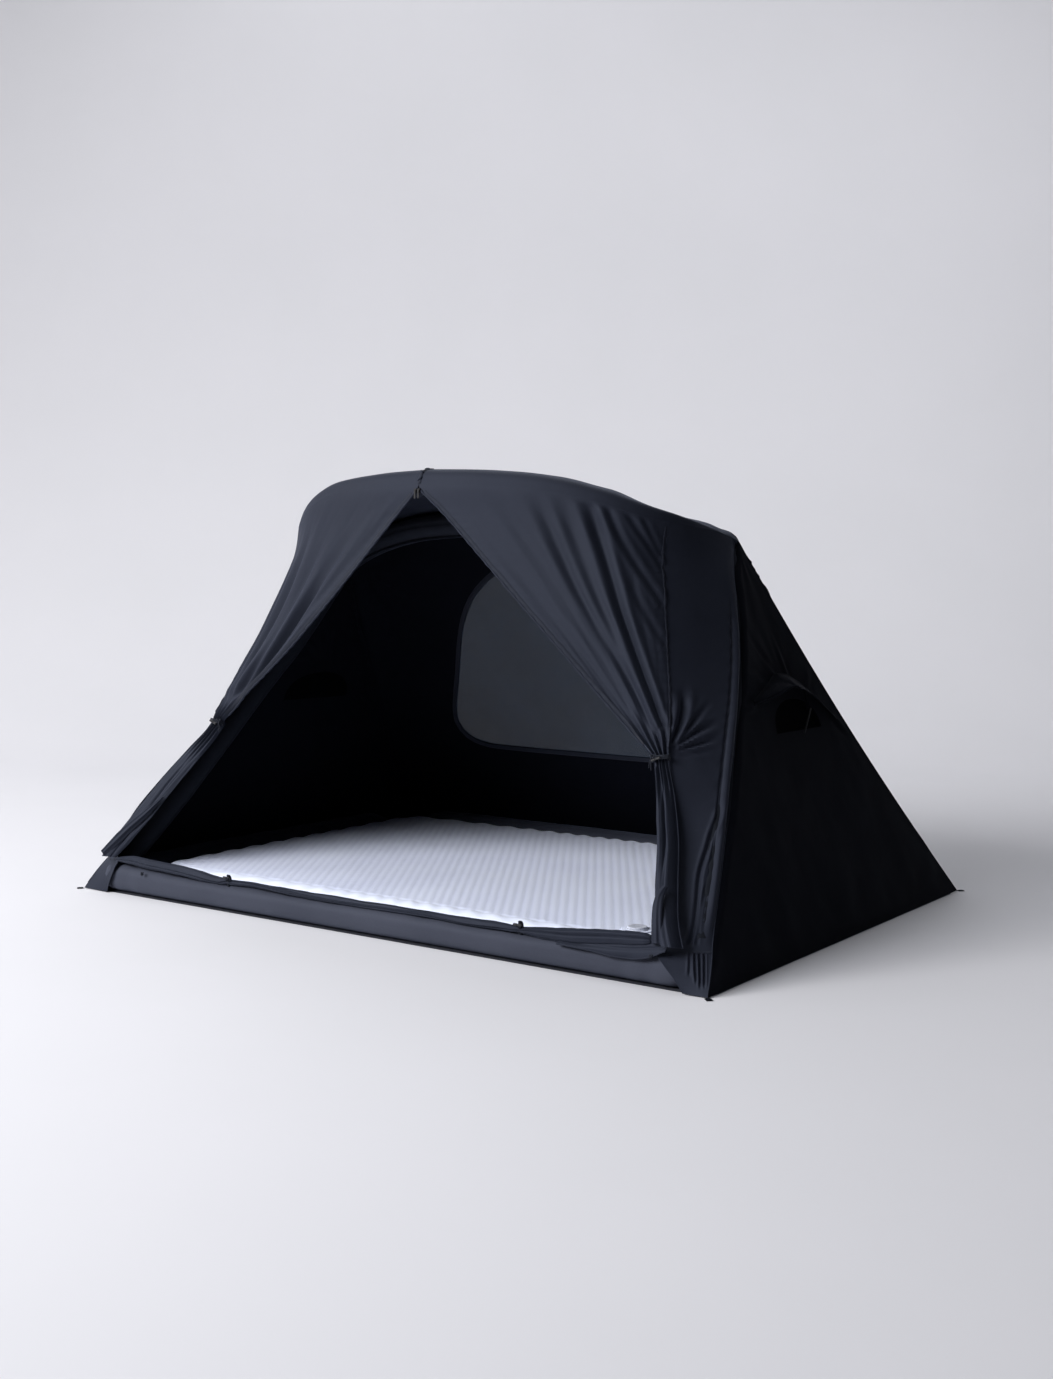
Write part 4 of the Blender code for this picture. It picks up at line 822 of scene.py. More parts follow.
# ------------------------------------------------------------------ roof
ROWS = 84
w = step(0, 0.05, np.linalg.norm(visor - brow, axis=1))[:, None]
front_out = brow - visor
front_out[:, 2] = 0
rows = [brow, (brow + visor) / 2 + w * (front_out * 0.22 + np.array([0, 0, 0.010])), visor]
at = [0.0, 0.055, 0.12]
for t in (0.25, 0.5, 0.75, 1.0):
    rows.append(visor * (1 - t) + crown * t - np.array([0, 0, 0.010]) * math.sin(math.pi * t))
    at.append(0.12 + 0.74 * t)
rows.append((crown + crown_back) / 2
            + np.array([0, 0.003, 0.005]) * np.clip((0.782 - np.abs(crown[:, 0])) / 0.15, 0, 1)[:, None])
rows.append(crown_back + np.array([0, 0.0, 0.0]))
at += [0.93, 1.0]
roof_all = loft(rows, at, ROWS)
brow_dir = unit(roof_all[0] - roof_all[2])          # the way the cloth leaves the brow, front and down
roof = roof_all[:, 1:-1]
n = outward(roof, (0, -0.2, 0.4))
v = np.linspace(0, 1, ROWS)[:, None]
xs = roof[..., 0]
h = 0.0030 * fbm(roof * np.array([5.0, 2.2, 3.0]), 3) * step(0.10, 0.25, v) * step(1.0, 0.85, v)
h = h + 0.0018 * np.sin(roof[..., 0] * 46 + 2.0 * perlin(roof * 5)) * bump(v, 0.2, 0.10) * step(0.25, 0.6, np.abs(xs))
for sx in (-1, 1):
    d = np.linalg.norm(roof - np.array([0.74 * sx, -0.08, 1.13]), axis=2)
    th = np.arctan2(roof[..., 1] + 0.08, 0.74 - sx * roof[..., 0])
    h = h + 0.0022 * np.sin(th * 8 + sx) * np.exp(-(d / 0.17) ** 2) * step(0.0, 0.06, d) * step(0.04, 0.16, v)
edge = step(0, 0.05, v) * step(1, 0.96, v)
roof = roof + n * (h * edge)[..., None]
# painted shading: roof fold crests lighter, valleys darker
ob = cloth("roof_skin", settle(roof), 0.0014, (0, -0.2, 0.4), M_CANOPY, painted_shading=np.clip(h * 120, -1, 1))
add(ob, ["roof_panel"])
rn = outward(roof, (0, -0.2, 0.4))
surface_strip("roof_rear_seam", settle(roof[-2, 4:-4] + rn[-2, 4:-4] * 0.0004), rn[-2, 4:-4], 0.012, 0.0012, M_SEAM, 0.0006)

# ------------------------------------------------------------------ back wall with its window
NB_R, NB_C = 110, 150
us = np.linspace(-1, 1, NB_C)
t = np.linspace(0.0, 1.0, NB_R)[:, None]
xt = us * (SHOULDER[0])
zt = np.interp(np.abs(xt), back_half[::-1, 0], back_half[::-1, 2])
yt = np.interp(np.abs(xt), back_half[::-1, 0], back_half[::-1, 1])
edge_w = np.sin(np.pi * t) * np.abs(us) ** 6
wall = np.stack([us * HX * (1 - t) + xt * t - np.copysign(REAR_SAG[0], us) * edge_w,
                 (HY - 0.0016) * (1 - t) + yt * t - REAR_SAG[1] * edge_w,
                 0.003 * (1 - t) + zt * t], 2)
n = outward(wall, (0, 0, 0.4))
win = np.zeros(wall.shape[:2])
half = spline([(x, 0.0, z) for x, z in WINDOW_HALF], 60)
outline = np.array([(x, z) for x, _, z in half] + [(-x, z) for x, _, z in half[::-1][1:-1]])
dwin = np.min(np.hypot(wall[..., 0][..., None] - outline[:, 0], wall[..., 2][..., None] - outline[:, 1]), axis=2)
h = 0.0045 * fbm(wall * np.array([3.0, 2.0, 2.4]), 3) * step(0.0, 0.12, 1 - np.abs(us)) * step(0, 0.10, t) * step(1, 0.9, t)
for sx in (-1, 1):
    for zz, aa in ((0.16, 0.5), (1.02, -0.6)):
        cx = sx * (1.09 if zz < 0.5 else 0.78)
        d = np.hypot(wall[..., 0] - cx, wall[..., 2] - zz)
        th = np.arctan2(wall[..., 2] - zz, sx * (cx - wall[..., 0]) * sx)
        h = h + 0.004 * np.sin(th * 10) * np.exp(-(d / 0.22) ** 2) * step(0, 0.05, d)
h = h * step(0.0, 0.05, dwin)
wall = wall + n * h[..., None]
# painted shading: back wall fold crests lighter, valleys darker
ob = cloth("back_wall_skin", settle(wall), 0.0014, (0, 0, 0.4), M_WALL_PAINTED_SHADE, painted_shading=np.clip(h * 100, -1, 1))
verts = [(x, -0.2, z) for x, z in outline] + [(x, 0.95, z) for x, z in outline]
k = len(outline)
cut(ob, verts, [tuple(range(k)), tuple(range(k, 2 * k))[::-1]] + [(i, (i + 1) % k, k + (i + 1) % k, k + i) for i in range(k)])
add(ob, ["back_wall"])


def back_y(x, z):
    t = np.full(np.shape(x), 0.5)
    for _ in range(24):
        u = x / (HX * (1 - t) + SHOULDER[0] * t)
        xx = np.abs(u) * SHOULDER[0]
        zz = np.interp(xx, back_half[::-1, 0], back_half[::-1, 2])
        t = (z - 0.003) / (zz - 0.003)
    return HY * (1 - t) + np.interp(xx, back_half[::-1, 0], back_half[::-1, 1]) * t


def grown(off):
    nxt, prv = np.roll(outline, -1, 0), np.roll(outline, 1, 0)
    tg = nxt - prv
    nr = np.stack([-tg[:, 1], tg[:, 0]], 1)
    nr = unit(nr)
    sign = np.sign(((outline - np.array([0, 0.68])) * nr).sum(1, keepdims=True))
    return outline + nr * sign * off


# the window's mesh: rings from the outline to the middle, drawn tight with a slight wave at the edge
ctr = np.array([0, 0.70])
rings = []
for s in np.linspace(1.0, 0.0006, 40):
    q = ctr + (grown(0.004) - ctr) * s
    y = back_y(q[:, 0], q[:, 1]) - 0.0012 + 0.0022 * np.sin(q[:, 0] * 23 + q[:, 1] * 9) * (1 - s) * s * 4 - 0.004 * (1 - s ** 2)
    rings.append(np.stack([q[:, 0], y, q[:, 1]], 1))
rings = np.array(rings)
uvw = np.stack([rings[..., 0], rings[..., 2]], 2)


def mesh_material(name, colour, see_through, hole=0.0016, fill=0.55):
    """Fine insect mesh: far too fine to see hole by hole, so part of the light simply passes."""
    mat, nt, bsdf = new_material(name)
    tc = node(nt, "ShaderNodeTexCoord")
    k = 2 * math.pi / (20 * hole)
    wx = node(nt, "ShaderNodeTexWave", bands_direction='X', Scale=k)
    wy = node(nt, "ShaderNodeTexWave", bands_direction='Y', Scale=k)
    nt.links.new(tc.outputs["UV"], wx.inputs["Vector"])
    nt.links.new(tc.outputs["UV"], wy.inputs["Vector"])
    grid = math_node(nt, 'MAXIMUM', wx.outputs["Fac"], wy.outputs["Fac"])
    n = node(nt, "ShaderNodeTexNoise", Scale=4.0, Detail=3.0)
    nt.links.new(tc.outputs["Object"], n.inputs["Vector"])
    nt.links.new(ramp(nt, n.outputs["Fac"], [(0.3, tuple(c * 0.8 for c in colour)), (0.7, tuple(c * 1.2 for c in colour))]),
                 bsdf.inputs["Base Color"])
    mr = node(nt, "ShaderNodeMapRange")
    mr.inputs["From Min"].default_value = 0.0
    mr.inputs["From Max"].default_value = 1.0
    mr.inputs["To Min"].default_value = 1 - see_through * 1.5
    mr.inputs["To Max"].default_value = min(1.0, 1 - see_through * 0.5)
    nt.links.new(grid, mr.inputs["Value"])
    nt.links.new(mr.outputs[0], bsdf.inputs["Alpha"])
    mr2 = node(nt, "ShaderNodeMapRange")
    mr2.inputs["To Min"].default_value, mr2.inputs["To Max"].default_value = 0.6, 0.85
    nt.links.new(n.outputs["Fac"], mr2.inputs["Value"])
    nt.links.new(mr2.outputs[0], bsdf.inputs["Roughness"])
    b = node(nt, "ShaderNodeBump", Strength=0.4, Distance=0.0004)
    nt.links.new(grid, b.inputs["Height"])
    nt.links.new(b.outputs[0], bsdf.inputs["Normal"])
    bsdf.inputs["Specular IOR Level"].default_value = 0.2
    bsdf.inputs["Sheen Weight"].default_value = 0.2
    mat.diffuse_color = (*colour, 1)
    return mat


M_MESH = mesh_material("insect_mesh", (0.0080, 0.0200, 0.0400), 0.205)
# near-black matte net with almost no shine: painted shade for the dark opening under the vent hood
M_VENT_PAINTED_SHADE = fabric("vent_net_painted_shade", (0.0010, 0.0011, 0.0015), (0.0018, 0.0020, 0.0028), pitch=0.0016, weave=0.7, rumple=0.1, sheen=0.0, spec=0.02,
                rough=(0.85, 0.95))
ob = cloth("window_mesh_sheet", rings[::-1], 0.0006, (0, 0, 0.6), M_MESH, closed=True, uv=uvw[::-1])
# close the small middle
bm = bmesh.new()
bm.from_mesh(ob.data)
bmesh.ops.holes_fill(bm, edges=[e for e in bm.edges if e.is_boundary], sides=0)
bm.to_mesh(ob.data)
bm.free()
add(ob, ["window_mesh"])

# sewn binding round the window, outside and inside
o1 = grown(0.008)
yb = back_y(o1[:, 0], o1[:, 1])
loop = np.stack([o1[:, 0], yb, o1[:, 1]], 1)
loop = np.vstack([loop, loop[:1]])
tl = unit(np.roll(loop[:-1], -1, 0) - np.roll(loop[:-1], 1, 0))
tl = np.vstack([tl, tl[:1]])
nb = unit(np.array([0.0, 1.0, 0.28]) * np.ones_like(loop))
for tag, sgn, off in (("outside", 1, 0.0016), ("inside", -1, 0.0032)):
    nn = nb * sgn
    ac = unit(np.cross(nn, tl))
    ob = strip("window_binding_" + tag, loop + nn * off, ac, nn, 0.018, 0.0016, M_WEB, crown=0.0006)
    add(ob, ["window_binding"] if tag == "outside" else [])

# ------------------------------------------------------------------ right and left halves of the canopy
SIDE_UNIT = np.array([1.118, 0.0, 0.368]) / math.hypot(1.118, 0.368)


def side_plane_x(z):
    return HX - 0.368 / 1.118 * z


def wall_offset(y, z):
    a, b = at_height(arch_skin, z), at_height(rear_c, z)
    t = (y - a[..., 1]) / (b[..., 1] - a[..., 1])
    x = a[..., 0] * (1 - t) + b[..., 0] * t
    return (x - side_plane_x(z)) * SIDE_UNIT[0]


WAIST_OUT = np.array(TIE) + np.array([-0.004, 0.0, 0.0])
WAIST_IN = np.array(TIE) + np.array([-0.044, -0.007, 0.004])
TAIL_OUT = np.array([1.086, -0.798, 0.112])
TAIL_IN = np.array([0.994, -0.792, 0.112])
WAIST_C = (WAIST_OUT + WAIST_IN) / 2

# lines of the folds on the right door, as they lie in the photograph
DOOR_FOLDS = [
    ([(580, 480), (600, 540), (608, 566), (622, 614), (638, 658), (650, 690), (664, 730)], 0.0110, 6.4, 3.2),
    ([(530, 485), (560, 552), (578, 592), (600, 632), (620, 666), (636, 696), (650, 728), (661, 747)], 0.0065, 6.4, 3.0),
    ([(600, 485), (613, 522), (630, 554), (646, 578), (664, 606)], 0.0048, 4.2, 3.0),
    ([(618, 488), (632, 520), (650, 546), (664, 570)], 0.0036, 3.6, 2.6),
    ([(638, 500), (648, 528), (662, 556)], 0.0030, 3.0, 2.4),
    ([(628, 570), (636, 594), (650, 620), (666, 646)], 0.0024, 3.8, 3.0),
    ([(480, 477), (530, 545), (560, 590), (590, 636), (620, 690), (652, 740)], 0.0022, 8.5, 3.4),
    ([(446, 477), (505, 556), (545, 606), (590, 664), (640, 734)], 0.0015, 8.0, 3.4),
    ([(556, 480), (580, 556), (602, 610), (626, 668), (656, 738)], 0.0022, 6.5, 3.0),
]

door_grids = {}
tails = {}
for side, tag in ((1, "right"), (-1, "left")):
    # ---------------- side wall
    R_, C_ = 112, 100
    zl = np.linspace(0.003, 1.1165, R_)
    a, b = at_height(arch_skin, zl), at_height(rear_c, zl)
    uu = np.linspace(0, 1, C_)
    uu = uu ** 1.25
    g = a[:, None] * (1 - uu)[None, :, None] + b[:, None] * uu[None, :, None]
    d0, d1 = edge_distance(g)
    g = wrap_arch(g, 0)
    n = outward(g, (0, 0.2, 0.4))
    belly = 0.007 * np.sin(np.pi * np.clip(d0 / (d0 + d1 + 1e-9), 0, 1)) * step(0, 0.25, zl)[:, None] * step(1.1, 0.8, zl)[:, None]
    seed = np.array([3.1 * side, 7.7, 1.3])
    h = 0.0026 * fbm(g * np.array([2.0, 3.0, 2.2]) + seed, 3)
    h = h + 0.0009 * creases(g * np.array([4.0, 7.0, 5.0]) + seed, 2)
    # drag lines from the low rear corner and from the shoulder, and along the ground line
    for cy, cz, rr, nn, aa in ((0.80, 0.03, 0.42, 7, 0.0018), (-0.02, 1.08, 0.30, 8, 0.0014), (-0.80, 0.05, 0.30, 6, 0.0016)):
        d = np.hypot(g[..., 1] - cy, g[..., 2] - cz)
        th = np.arctan2(g[..., 2] - cz, g[..., 1] - cy)
        h = h + aa * np.sin(th * nn + 1.3 * side + 2 * perlin(g * 4 + seed)) * np.exp(-(d / rr) ** 2) * step(0.0, 0.07, d)
    h = h + 0.0012 * np.sin(g[..., 1] * 31 + 3 * perlin(g * 5)) * bump(g[..., 2], 0.10, 0.05) * step(0.02, 0.06, g[..., 2])
    # folds that run up and forward from the vent
    yv, zv = g[..., 1] - VENT_Y, g[..., 2] - (VENT_Z + 0.11)
    for ang, ln, dep in ((118, 0.30, 0.0035), (141, 0.34, 0.0040), (163, 0.30, 0.0030), (62, 0.20, 0.0025), (96, 0.26, 0.0025)):
        ca, sa = math.cos(math.radians(ang)), math.sin(math.radians(ang))
        al = yv * ca + zv * sa
        ac = -yv * sa + zv * ca
        ww = 0.010 + 0.02 * np.clip(al / ln, 0, 1)
        h = h - dep * np.exp(-(ac / ww) ** 2) * step(0.0, 0.03, al) * step(ln, 0.1 * ln, al)
        h = h + 0.5 * dep * np.exp(-((ac - 1.9 * ww) / ww) ** 2) * step(0.0, 0.03, al) * step(ln, 0.1 * ln, al)
    near = np.hypot(g[..., 1] - VENT_Y, (g[..., 2] - VENT_Z - 0.045) * 1.2)
    h = h * step(0.10, 0.22, near)
    vv_ = (g[..., 2] - VENT_Z) / 0.95
    uu_ = g[..., 1] - VENT_Y
    for p0, p1, dep, ww in (((-0.26, 0.090), (-0.340, 0.080), 0.006, 0.010), ((0.25, 0.016), (0.330, -0.045), 0.007, 0.010),
                            ((-0.06, 0.16), (-0.22, 0.30), 0.004, 0.010), ((-0.10, 0.135), (-0.28, 0.19), 0.003, 0.011),
                            ((0.02, 0.15), (-0.02, 0.30), 0.003, 0.012), ((0.12, 0.11), (0.20, 0.22), 0.003, 0.012)):
        dx, dz = p1[0] - p0[0], p1[1] - p0[1]
        L_ = math.hypot(dx, dz)
        al = ((uu_ - p0[0]) * dx + (vv_ - p0[1]) * dz) / L_
        ac = (-(uu_ - p0[0]) * dz + (vv_ - p0[1]) * dx) / L_
        amp_ = dep * step(-0.03, 0.02, al) * step(L_ * 1.15, L_ * 0.35, al)
        h = h + amp_ * (np.exp(-(ac / ww) ** 2) - 0.6 * np.exp(-((ac + 1.8 * ww) / ww) ** 2))
    hold = step(0, 0.045, d0) * step(0, 0.07, d1) * step(0.003, 0.03, g[..., 2])
    g = g + n * ((h * hold - belly * step(0, 0.05, d0)))[..., None]
    sw = g
    sgm = mirror(g, side)
    # painted shading: side wall wrinkle crests lighter, valleys darker
    ob = cloth("side_wall_skin_" + tag, settle(sgm), 0.0014, (0, 0.2, 0.4), M_WALL_PAINTED_SHADE, painted_shading=np.clip(h * 110, -1, 1))
    vo = [(-VENT_W / 2, 0.0), (VENT_W / 2, 0.0)]
    for k in range(1, 20):
        aa = math.pi * k / 20
        vo.append((VENT_W / 2 * math.cos(aa), VENT_H * math.sin(aa) ** 0.8))
    e1 = np.array([0.0, 1.0, 0.0])
    e2 = unit(np.array([-0.368 * side, 0, 1.118]))
    nr = unit(np.array([1.118 * side, 0, 0.368]))
    vbase = np.array([side * side_plane_x(VENT_Z), VENT_Y, VENT_Z])

    def vpt(u, v, off):
        p = vbase + e1 * np.asarray(u)[..., None] + e2 * np.asarray(v)[..., None]
        return p + nr * (np.asarray(off) + wall_offset(p[..., 1], p[..., 2]) - 0.0055)[..., None]

    k = len(vo)
    verts = [tuple(vbase + e1 * u_ + e2 * v_ - nr * 0.06) for u_, v_ in vo] + [tuple(vbase + e1 * u_ + e2 * v_ + nr * 0.06) for u_, v_ in vo]
    cut(ob, verts, [tuple(range(k)), tuple(range(k, 2 * k))[::-1]] + [(i, (i + 1) % k, k + (i + 1) % k, k + i) for i in range(k)])
    add(ob, ["side_wall_" + tag])

    rc = rear_line(160)
    rc[:, 2] = np.maximum(rc[:, 2], 0.004)
    rc = rc[1:-6]
    diag = unit(np.array([0.9, 0.75, 0.42])) * np.ones((len(rc), 1))
    trc = unit(np.gradient(rc, axis=0))
    across_ = unit(np.cross(diag, trc))
    for nm, sg_, off_ in (("outside", 1.0, -0.0010), ("inside", -1.0, 0.0048)):
        rows3 = []
        for wv in np.linspace(-1, 1, 9):
            tp = ((0.15 if sg_ > 0 else 1.6) * (1 - step(0.0, 0.09, rc[:, 2])) + step(0.0, 0.09, rc[:, 2]))[:, None]
            rows3.append(rc + across_ * (wv * 0.011) * tp + diag * sg_ * (off_ + 0.0016 - 0.0085 * abs(wv) * tp * (1 if sg_ > 0 else -0.9)))
        g3 = mirror(np.array(rows3), side)
        g3[..., 2] = np.maximum(g3[..., 2], 0.0016)
        ob_s = cloth("rear_corner_seam_%s_%s" % (nm, tag), settle(g3), 0.0012, (0, 0, 0.4), M_WALL_PAINTED_SHADE)
        add(ob_s)

    # vent mesh, a shallow dished net behind the hole
    vv = np.array(vo)
    c0 = np.array([0.0, VENT_H * 0.42])
    rr_ = []
    for s in np.linspace(0.002, 1.04, 18):
        q = c0 + (vv - c0) * s
        rr_.append(vpt(q[:, 0], q[:, 1], -0.0035 - 0.003 * (1 - s ** 2)))
    rr_ = np.array(rr_)
    uvm = np.stack([(rr_ - vbase) @ e1, (rr_ - vbase) @ e2], 2)
    ob = cloth("vent_mesh_sheet_" + tag, rr_, 0.0006, tuple(vbase - nr * 0.5), M_VENT_PAINTED_SHADE, closed=True, uv=uvm)
    add(ob, ["vent_mesh_" + tag])

    # hood: sewn along its top, its free edge propped out, cloth pulled into folds from the tip of the strut
    U, S = np.meshgrid(np.linspace(-1, 1, 81), np.linspace(0, 1, 41))
    uh = U * 0.262
    peak = -0.060
    rel = np.abs(uh - peak) / np.where(uh < peak, 0.262 + peak, 0.262 - peak)
    lift = HOOD_REACH * np.clip(1 - rel ** 1.3, 0, 1) * (S ** 0.8) + 0.0022
    at_u = [-0.262, -0.178, -0.079, 0.0, 0.073, 0.160, 0.262]
    low_v = np.interp(uh, at_u, [0.088, 0.098, 0.120, 0.106, 0.084, 0.048, 0.012])
    top_v = np.interp(uh, at_u, [0.098, 0.130, 0.172, 0.166, 0.140, 0.090, 0.022])
    V = top_v * (1 - S) + low_v * S
    crest = 0.0035 * np.sin(np.arctan2(uh - peak, (1.02 - S) * 0.11) * 4.5 + 0.6) * step(0, 0.3, S) * step(1.0, 0.75, np.abs(U)) * step(0.0, 0.25, np.hypot(U, 1 - S))
    hood = vpt(uh * (1 - 0.02 * (1 - S)), V, lift + 0.0035 + crest + 0.0012 * fbm(np.stack([U * 4, S * 3, U * 0 + side], 2), 2) * step(0, 0.2, S))
    # painted shading: hood fold crests lighter, valleys darker
    ob = cloth("vent_hood_skin_" + tag, hood, 0.0016, tuple(vbase - nr * 0.5), M_WALL_PAINTED_SHADE, painted_shading=np.clip(crest * 160, -1, 1))
    add(ob, ["vent_hood_" + tag])
    hn = outward(hood, tuple(vbase - nr * 0.5))
    surface_strip("vent_hood_hem_" + tag, hood[-2] + hn[-2] * 0.0003, hn[-2], 0.006, 0.0012, M_WALL_PAINTED_SHADE, 0.0008)
    # a tab from the hood's edge down to the pocket that takes the head of the strut
    tip_v = np.array([0.108, 0.095, 0.080, 0.066, 0.052])
    tip_o = np.array([HOOD_REACH - 0.002, HOOD_REACH - 0.003, HOOD_REACH - 0.004, HOOD_REACH - 0.005, HOOD_REACH - 0.008])
    tab = spline(vpt(np.zeros(5), tip_v, tip_o), 30)
    ob_p = tube("vent_hood_pocket_" + tag, tab, np.interp(np.linspace(0, 1, 30), [0, 0.5, 0.8, 1], [0.0034, 0.0044, 0.0056, 0.0030]), 16, M_WALL_PAINTED_SHADE,
                section=lambda s_, w_: 1 + 0.10 * np.cos(4 * w_))
    add(ob_p)
    surface_strip("vent_hood_seam_" + tag, hood[1] + hn[1] * 0.0002, hn[1], 0.010, 0.0010, M_WALL_PAINTED_SHADE, 0.0004)

    # ---------------- front corner panel
    R_, C_ = 206, 118
    zr_ = np.r_[np.linspace(0.003, 0.13, 52)[:-1], np.linspace(0.13, SHOULDER[2], R_ - 51)]
    # on the left the cloth hangs further out, along the line of the tail
    sl = spline((SEAM_LINE if side > 0 else SEAM_LEFT) + [tuple(brow_half[HEAD])], 900)
    tz_ = (zr_ - 0.003) / (SHOULDER[2] - 0.003)
    zl_ = zr_ + (brow_half[HEAD][2] - SHOULDER[2]) * step(0.15, 1.0, tz_)
    left = at_height(sl, zl_)
    right_line = at_height(spline(ARCH_LINE, 900), zr_)
    head = resample(brow_half[:HEAD + 1][::-1], C_)
    tt = tz_[:, None, None]
    ss = np.linspace(0, 1, C_)[None, :, None]
    chord = head[0] * (1 - ss) + head[-1] * ss
    g = left[:, None] * (1 - ss) + right_line[:, None] * ss + (head[None] - chord) * tt ** 4
    g[..., 2] = np.maximum(g[..., 2], 0.003)
    d0, d1 = edge_distance(g)
    g = wrap_arch(g, C_ - 1)
    n = outward(g, (0, 0.3, 0.6))
    gm = mirror(g, side)
    px, py = project(gm)
    seed = np.array([11.0 * side, 2.2, 5.1])
    h = 0.0016 * fbm(g * np.array([5.0, 5.0, 3.0]) + seed, 3) * step(0.02, 0.2, g[..., 2])
    # pulled to the tie: a few folds that fan out from it
    dv = g - np.array(TIE)
    rt = np.linalg.norm(dv, axis=2)
    h = h - 0.006 * np.exp(-(rt / 0.050) ** 2)
    if side > 0:
        for pts, dep, w_, w2_ in (([(671, 746), (680, 724), (684, 702), (680, 684)], 0.010, 2.2, 5.0),
                                  ([(672, 748), (686, 732), (700, 714), (714, 698)], 0.004, 1.8, 3.0),
                                  ([(672, 749), (682, 742), (700, 730), (722, 721)], 0.0065, 1.8, 3.4),
                                  ([(673, 751), (684, 748), (702, 743), (722, 737)], 0.0065, 1.6, 3.0),
                                  ([(673, 754), (690, 753), (716, 749)], 0.003, 1.6, 3.0)):
            h = h + fold(px, py, pts, dep, w_, fade=(0.10, 0.40), width2=w2_)
        for pts, dep, w_ in (([(722, 800), (718, 818), (712, 833), (708, 847), (700, 874), (697, 906), (694, 928), (689, 948)], 0.0050, 2.2),
                             ([(709, 880), (702, 904), (699, 925), (696, 946)], 0.0025, 2.0)):
            h = h + fold(px, py, pts, dep, w_, fade=(0.12, 0.05))
        for pts, dep, w_ in (([(690, 953), (690, 964), (689, 978)], 0.0026, 1.4), ([(695, 953), (695.5, 968), (697, 986)], 0.0040, 1.3),
                             ([(699.5, 953), (700, 970), (700.5, 992)], 0.0042, 1.3), ([(704.5, 953), (704.5, 970), (704.5, 990)], 0.0036, 1.2)):
            h = h + fold(px, py, pts, dep, w_, fade=(0.05, 0.30))
    else:
        th = np.degrees(np.arctan2(dv[..., 2], dv[..., 0] * 0.85 - dv[..., 1] * 0.3))
        for ang, ln, dep in ((62, 0.20, 0.006), (38, 0.18, 0.006), (16, 0.16, 0.005), (-6, 0.15, 0.004)):
            x = (th - ang) / (5.0 + 3.0 * np.clip(rt / ln, 0, 1))
            h = h + dep * (-np.exp(-x ** 2) + 0.5 * np.exp(-((x - 1.7) / 0.9) ** 2)) * step(0.0, 0.04, rt) * step(ln, 0.15 * ln, rt)
        # two deep creases near its foot
        for pts, dep, w_ in (([(150, 812), (140, 828), (124, 840)], 0.006, 2.4), ([(166, 806), (156, 818), (146, 830)], 0.005, 2.2)):
            h = h + fold(px, py, pts, dep, w_, fade=(0.25, 0.25))
    # the tube swells in its sleeve beside the sewn valley
    tall = step(0.10, 0.22, g[..., 2]) * step(0.99, 0.86, g[..., 2])
    h = h + (-0.0050 * np.exp(-((d1 - 0.034) / 0.0050) ** 2) + 0.0065 * np.exp(-((d1 - 0.016) / 0.010) ** 2)) * tall
    h = h + 0.0010 * np.sin(tt[..., 0] * 190 + 9 * perlin(g * 4)) * np.exp(-((d1 - 0.038) / 0.010) ** 2) * tall
    hold = step(0, 0.010, d0) * np.clip(d1 / 0.006, 0, 1) * step(0.003, 0.03, g[..., 2])
    keep_top = step(1.0, 0.975, tt[..., 0])
    g = g + n * (h * hold * keep_top)[..., None]
    gm = mirror(g, side)
    fp_inside = (0, 0.3, 0.6)
    # painted shading: front panel fold crests lighter, valleys darker
    ob = cloth("front_panel_skin_" + tag, settle(gm), 0.0014, fp_inside, M_CANOPY, painted_shading=np.clip(h * 120, -1, 1))
    add(ob, ["front_panel_" + tag])
    gn = outward(gm, fp_inside)
    # a seam tape down the valley beside the arch
    ci = np.argmin(np.abs(d1 - 0.034), axis=1)
    sel = np.arange(56, int(np.argmin(np.abs(zr_ - 0.93))))
    vl = settle(gm[sel, ci[sel]] + gn[sel, ci[sel]] * 0.0003)
    surface_strip("arch_seam_front_" + tag, vl, gn[sel, ci[sel]], 0.0050, 0.0008, M_SEAM, 0.0003)
    # the seam above the gathered foot of the arch
    rw_ = int(np.argmin(np.abs(zr_ - 0.094)))
    c0_ = int(np.argmin(np.abs(d1[rw_] - 0.052)))
    surface_strip("arch_foot_seam_" + tag, gm[rw_, c0_:-1] + gn[rw_, c0_:-1] * 0.0004, gn[rw_, c0_:-1], 0.0060, 0.0010, M_SEAM, 0.0004)
    # piping that covers the joint of the front panel and the side wall along the arch
    pe = settle(gm[6:-2, -1] + gn[6:-2, -1] * 0.0002)
    pe = resample(pe, 150)
    ob = tube("arch_piping_" + tag, pe, 0.0004 + 0.0010 * step(1.0, 0.80, pe[:, 2]), 8, M_CANOPY)
    add(ob)

    # ---------------- door half
    T1, C_ = 176, 190
    arc = brow_half[HEAD:].copy()
    arc[-1, 0] = 0.0
    arc = resample(arc, C_)
    bd = brow_dir[:NC][HEAD:]
    bd = unit(np.stack([np.interp(np.linspace(0, 1, C_), np.linspace(0, 1, len(bd)), bd[:, j]) for j in range(3)], 1))
    s = np.linspace(0, 1, C_)
    t = np.linspace(0, 1, T1)
    waist = WAIST_OUT * (1 - s)[:, None] + WAIST_IN * s[:, None]
    t_ = t[:, None, None]
    # on the seam side the door follows the curved seam line
    seam_up = seam_skin[np.argmin(np.linalg.norm(seam_skin - np.array(TIE), axis=1)):][::-1]
    seam_up = resample(seam_up, T1)
    g = arc[None] * (1 - t_) + waist[None] * t_
    shift = (seam_up - (arc[0] * (1 - t)[:, None] + waist[0] * t[:, None])) * step(1.0, 0.9, t)[:, None]
    g = g + shift[:, None] * ((1 - s) ** 3)[None, :, None]
    ch = unit(waist - arc)
    ell = np.linalg.norm(waist - arc, axis=1)[None, :, None] * t_
    g = g + (bd - ch)[None] * ell * np.exp(-ell / 0.032)
    S2, T2 = np.meshgrid(s, t)
    g[..., 1] += 0.020 * np.sin(np.pi * T2) * np.sin(np.pi * S2)
    if side < 0:
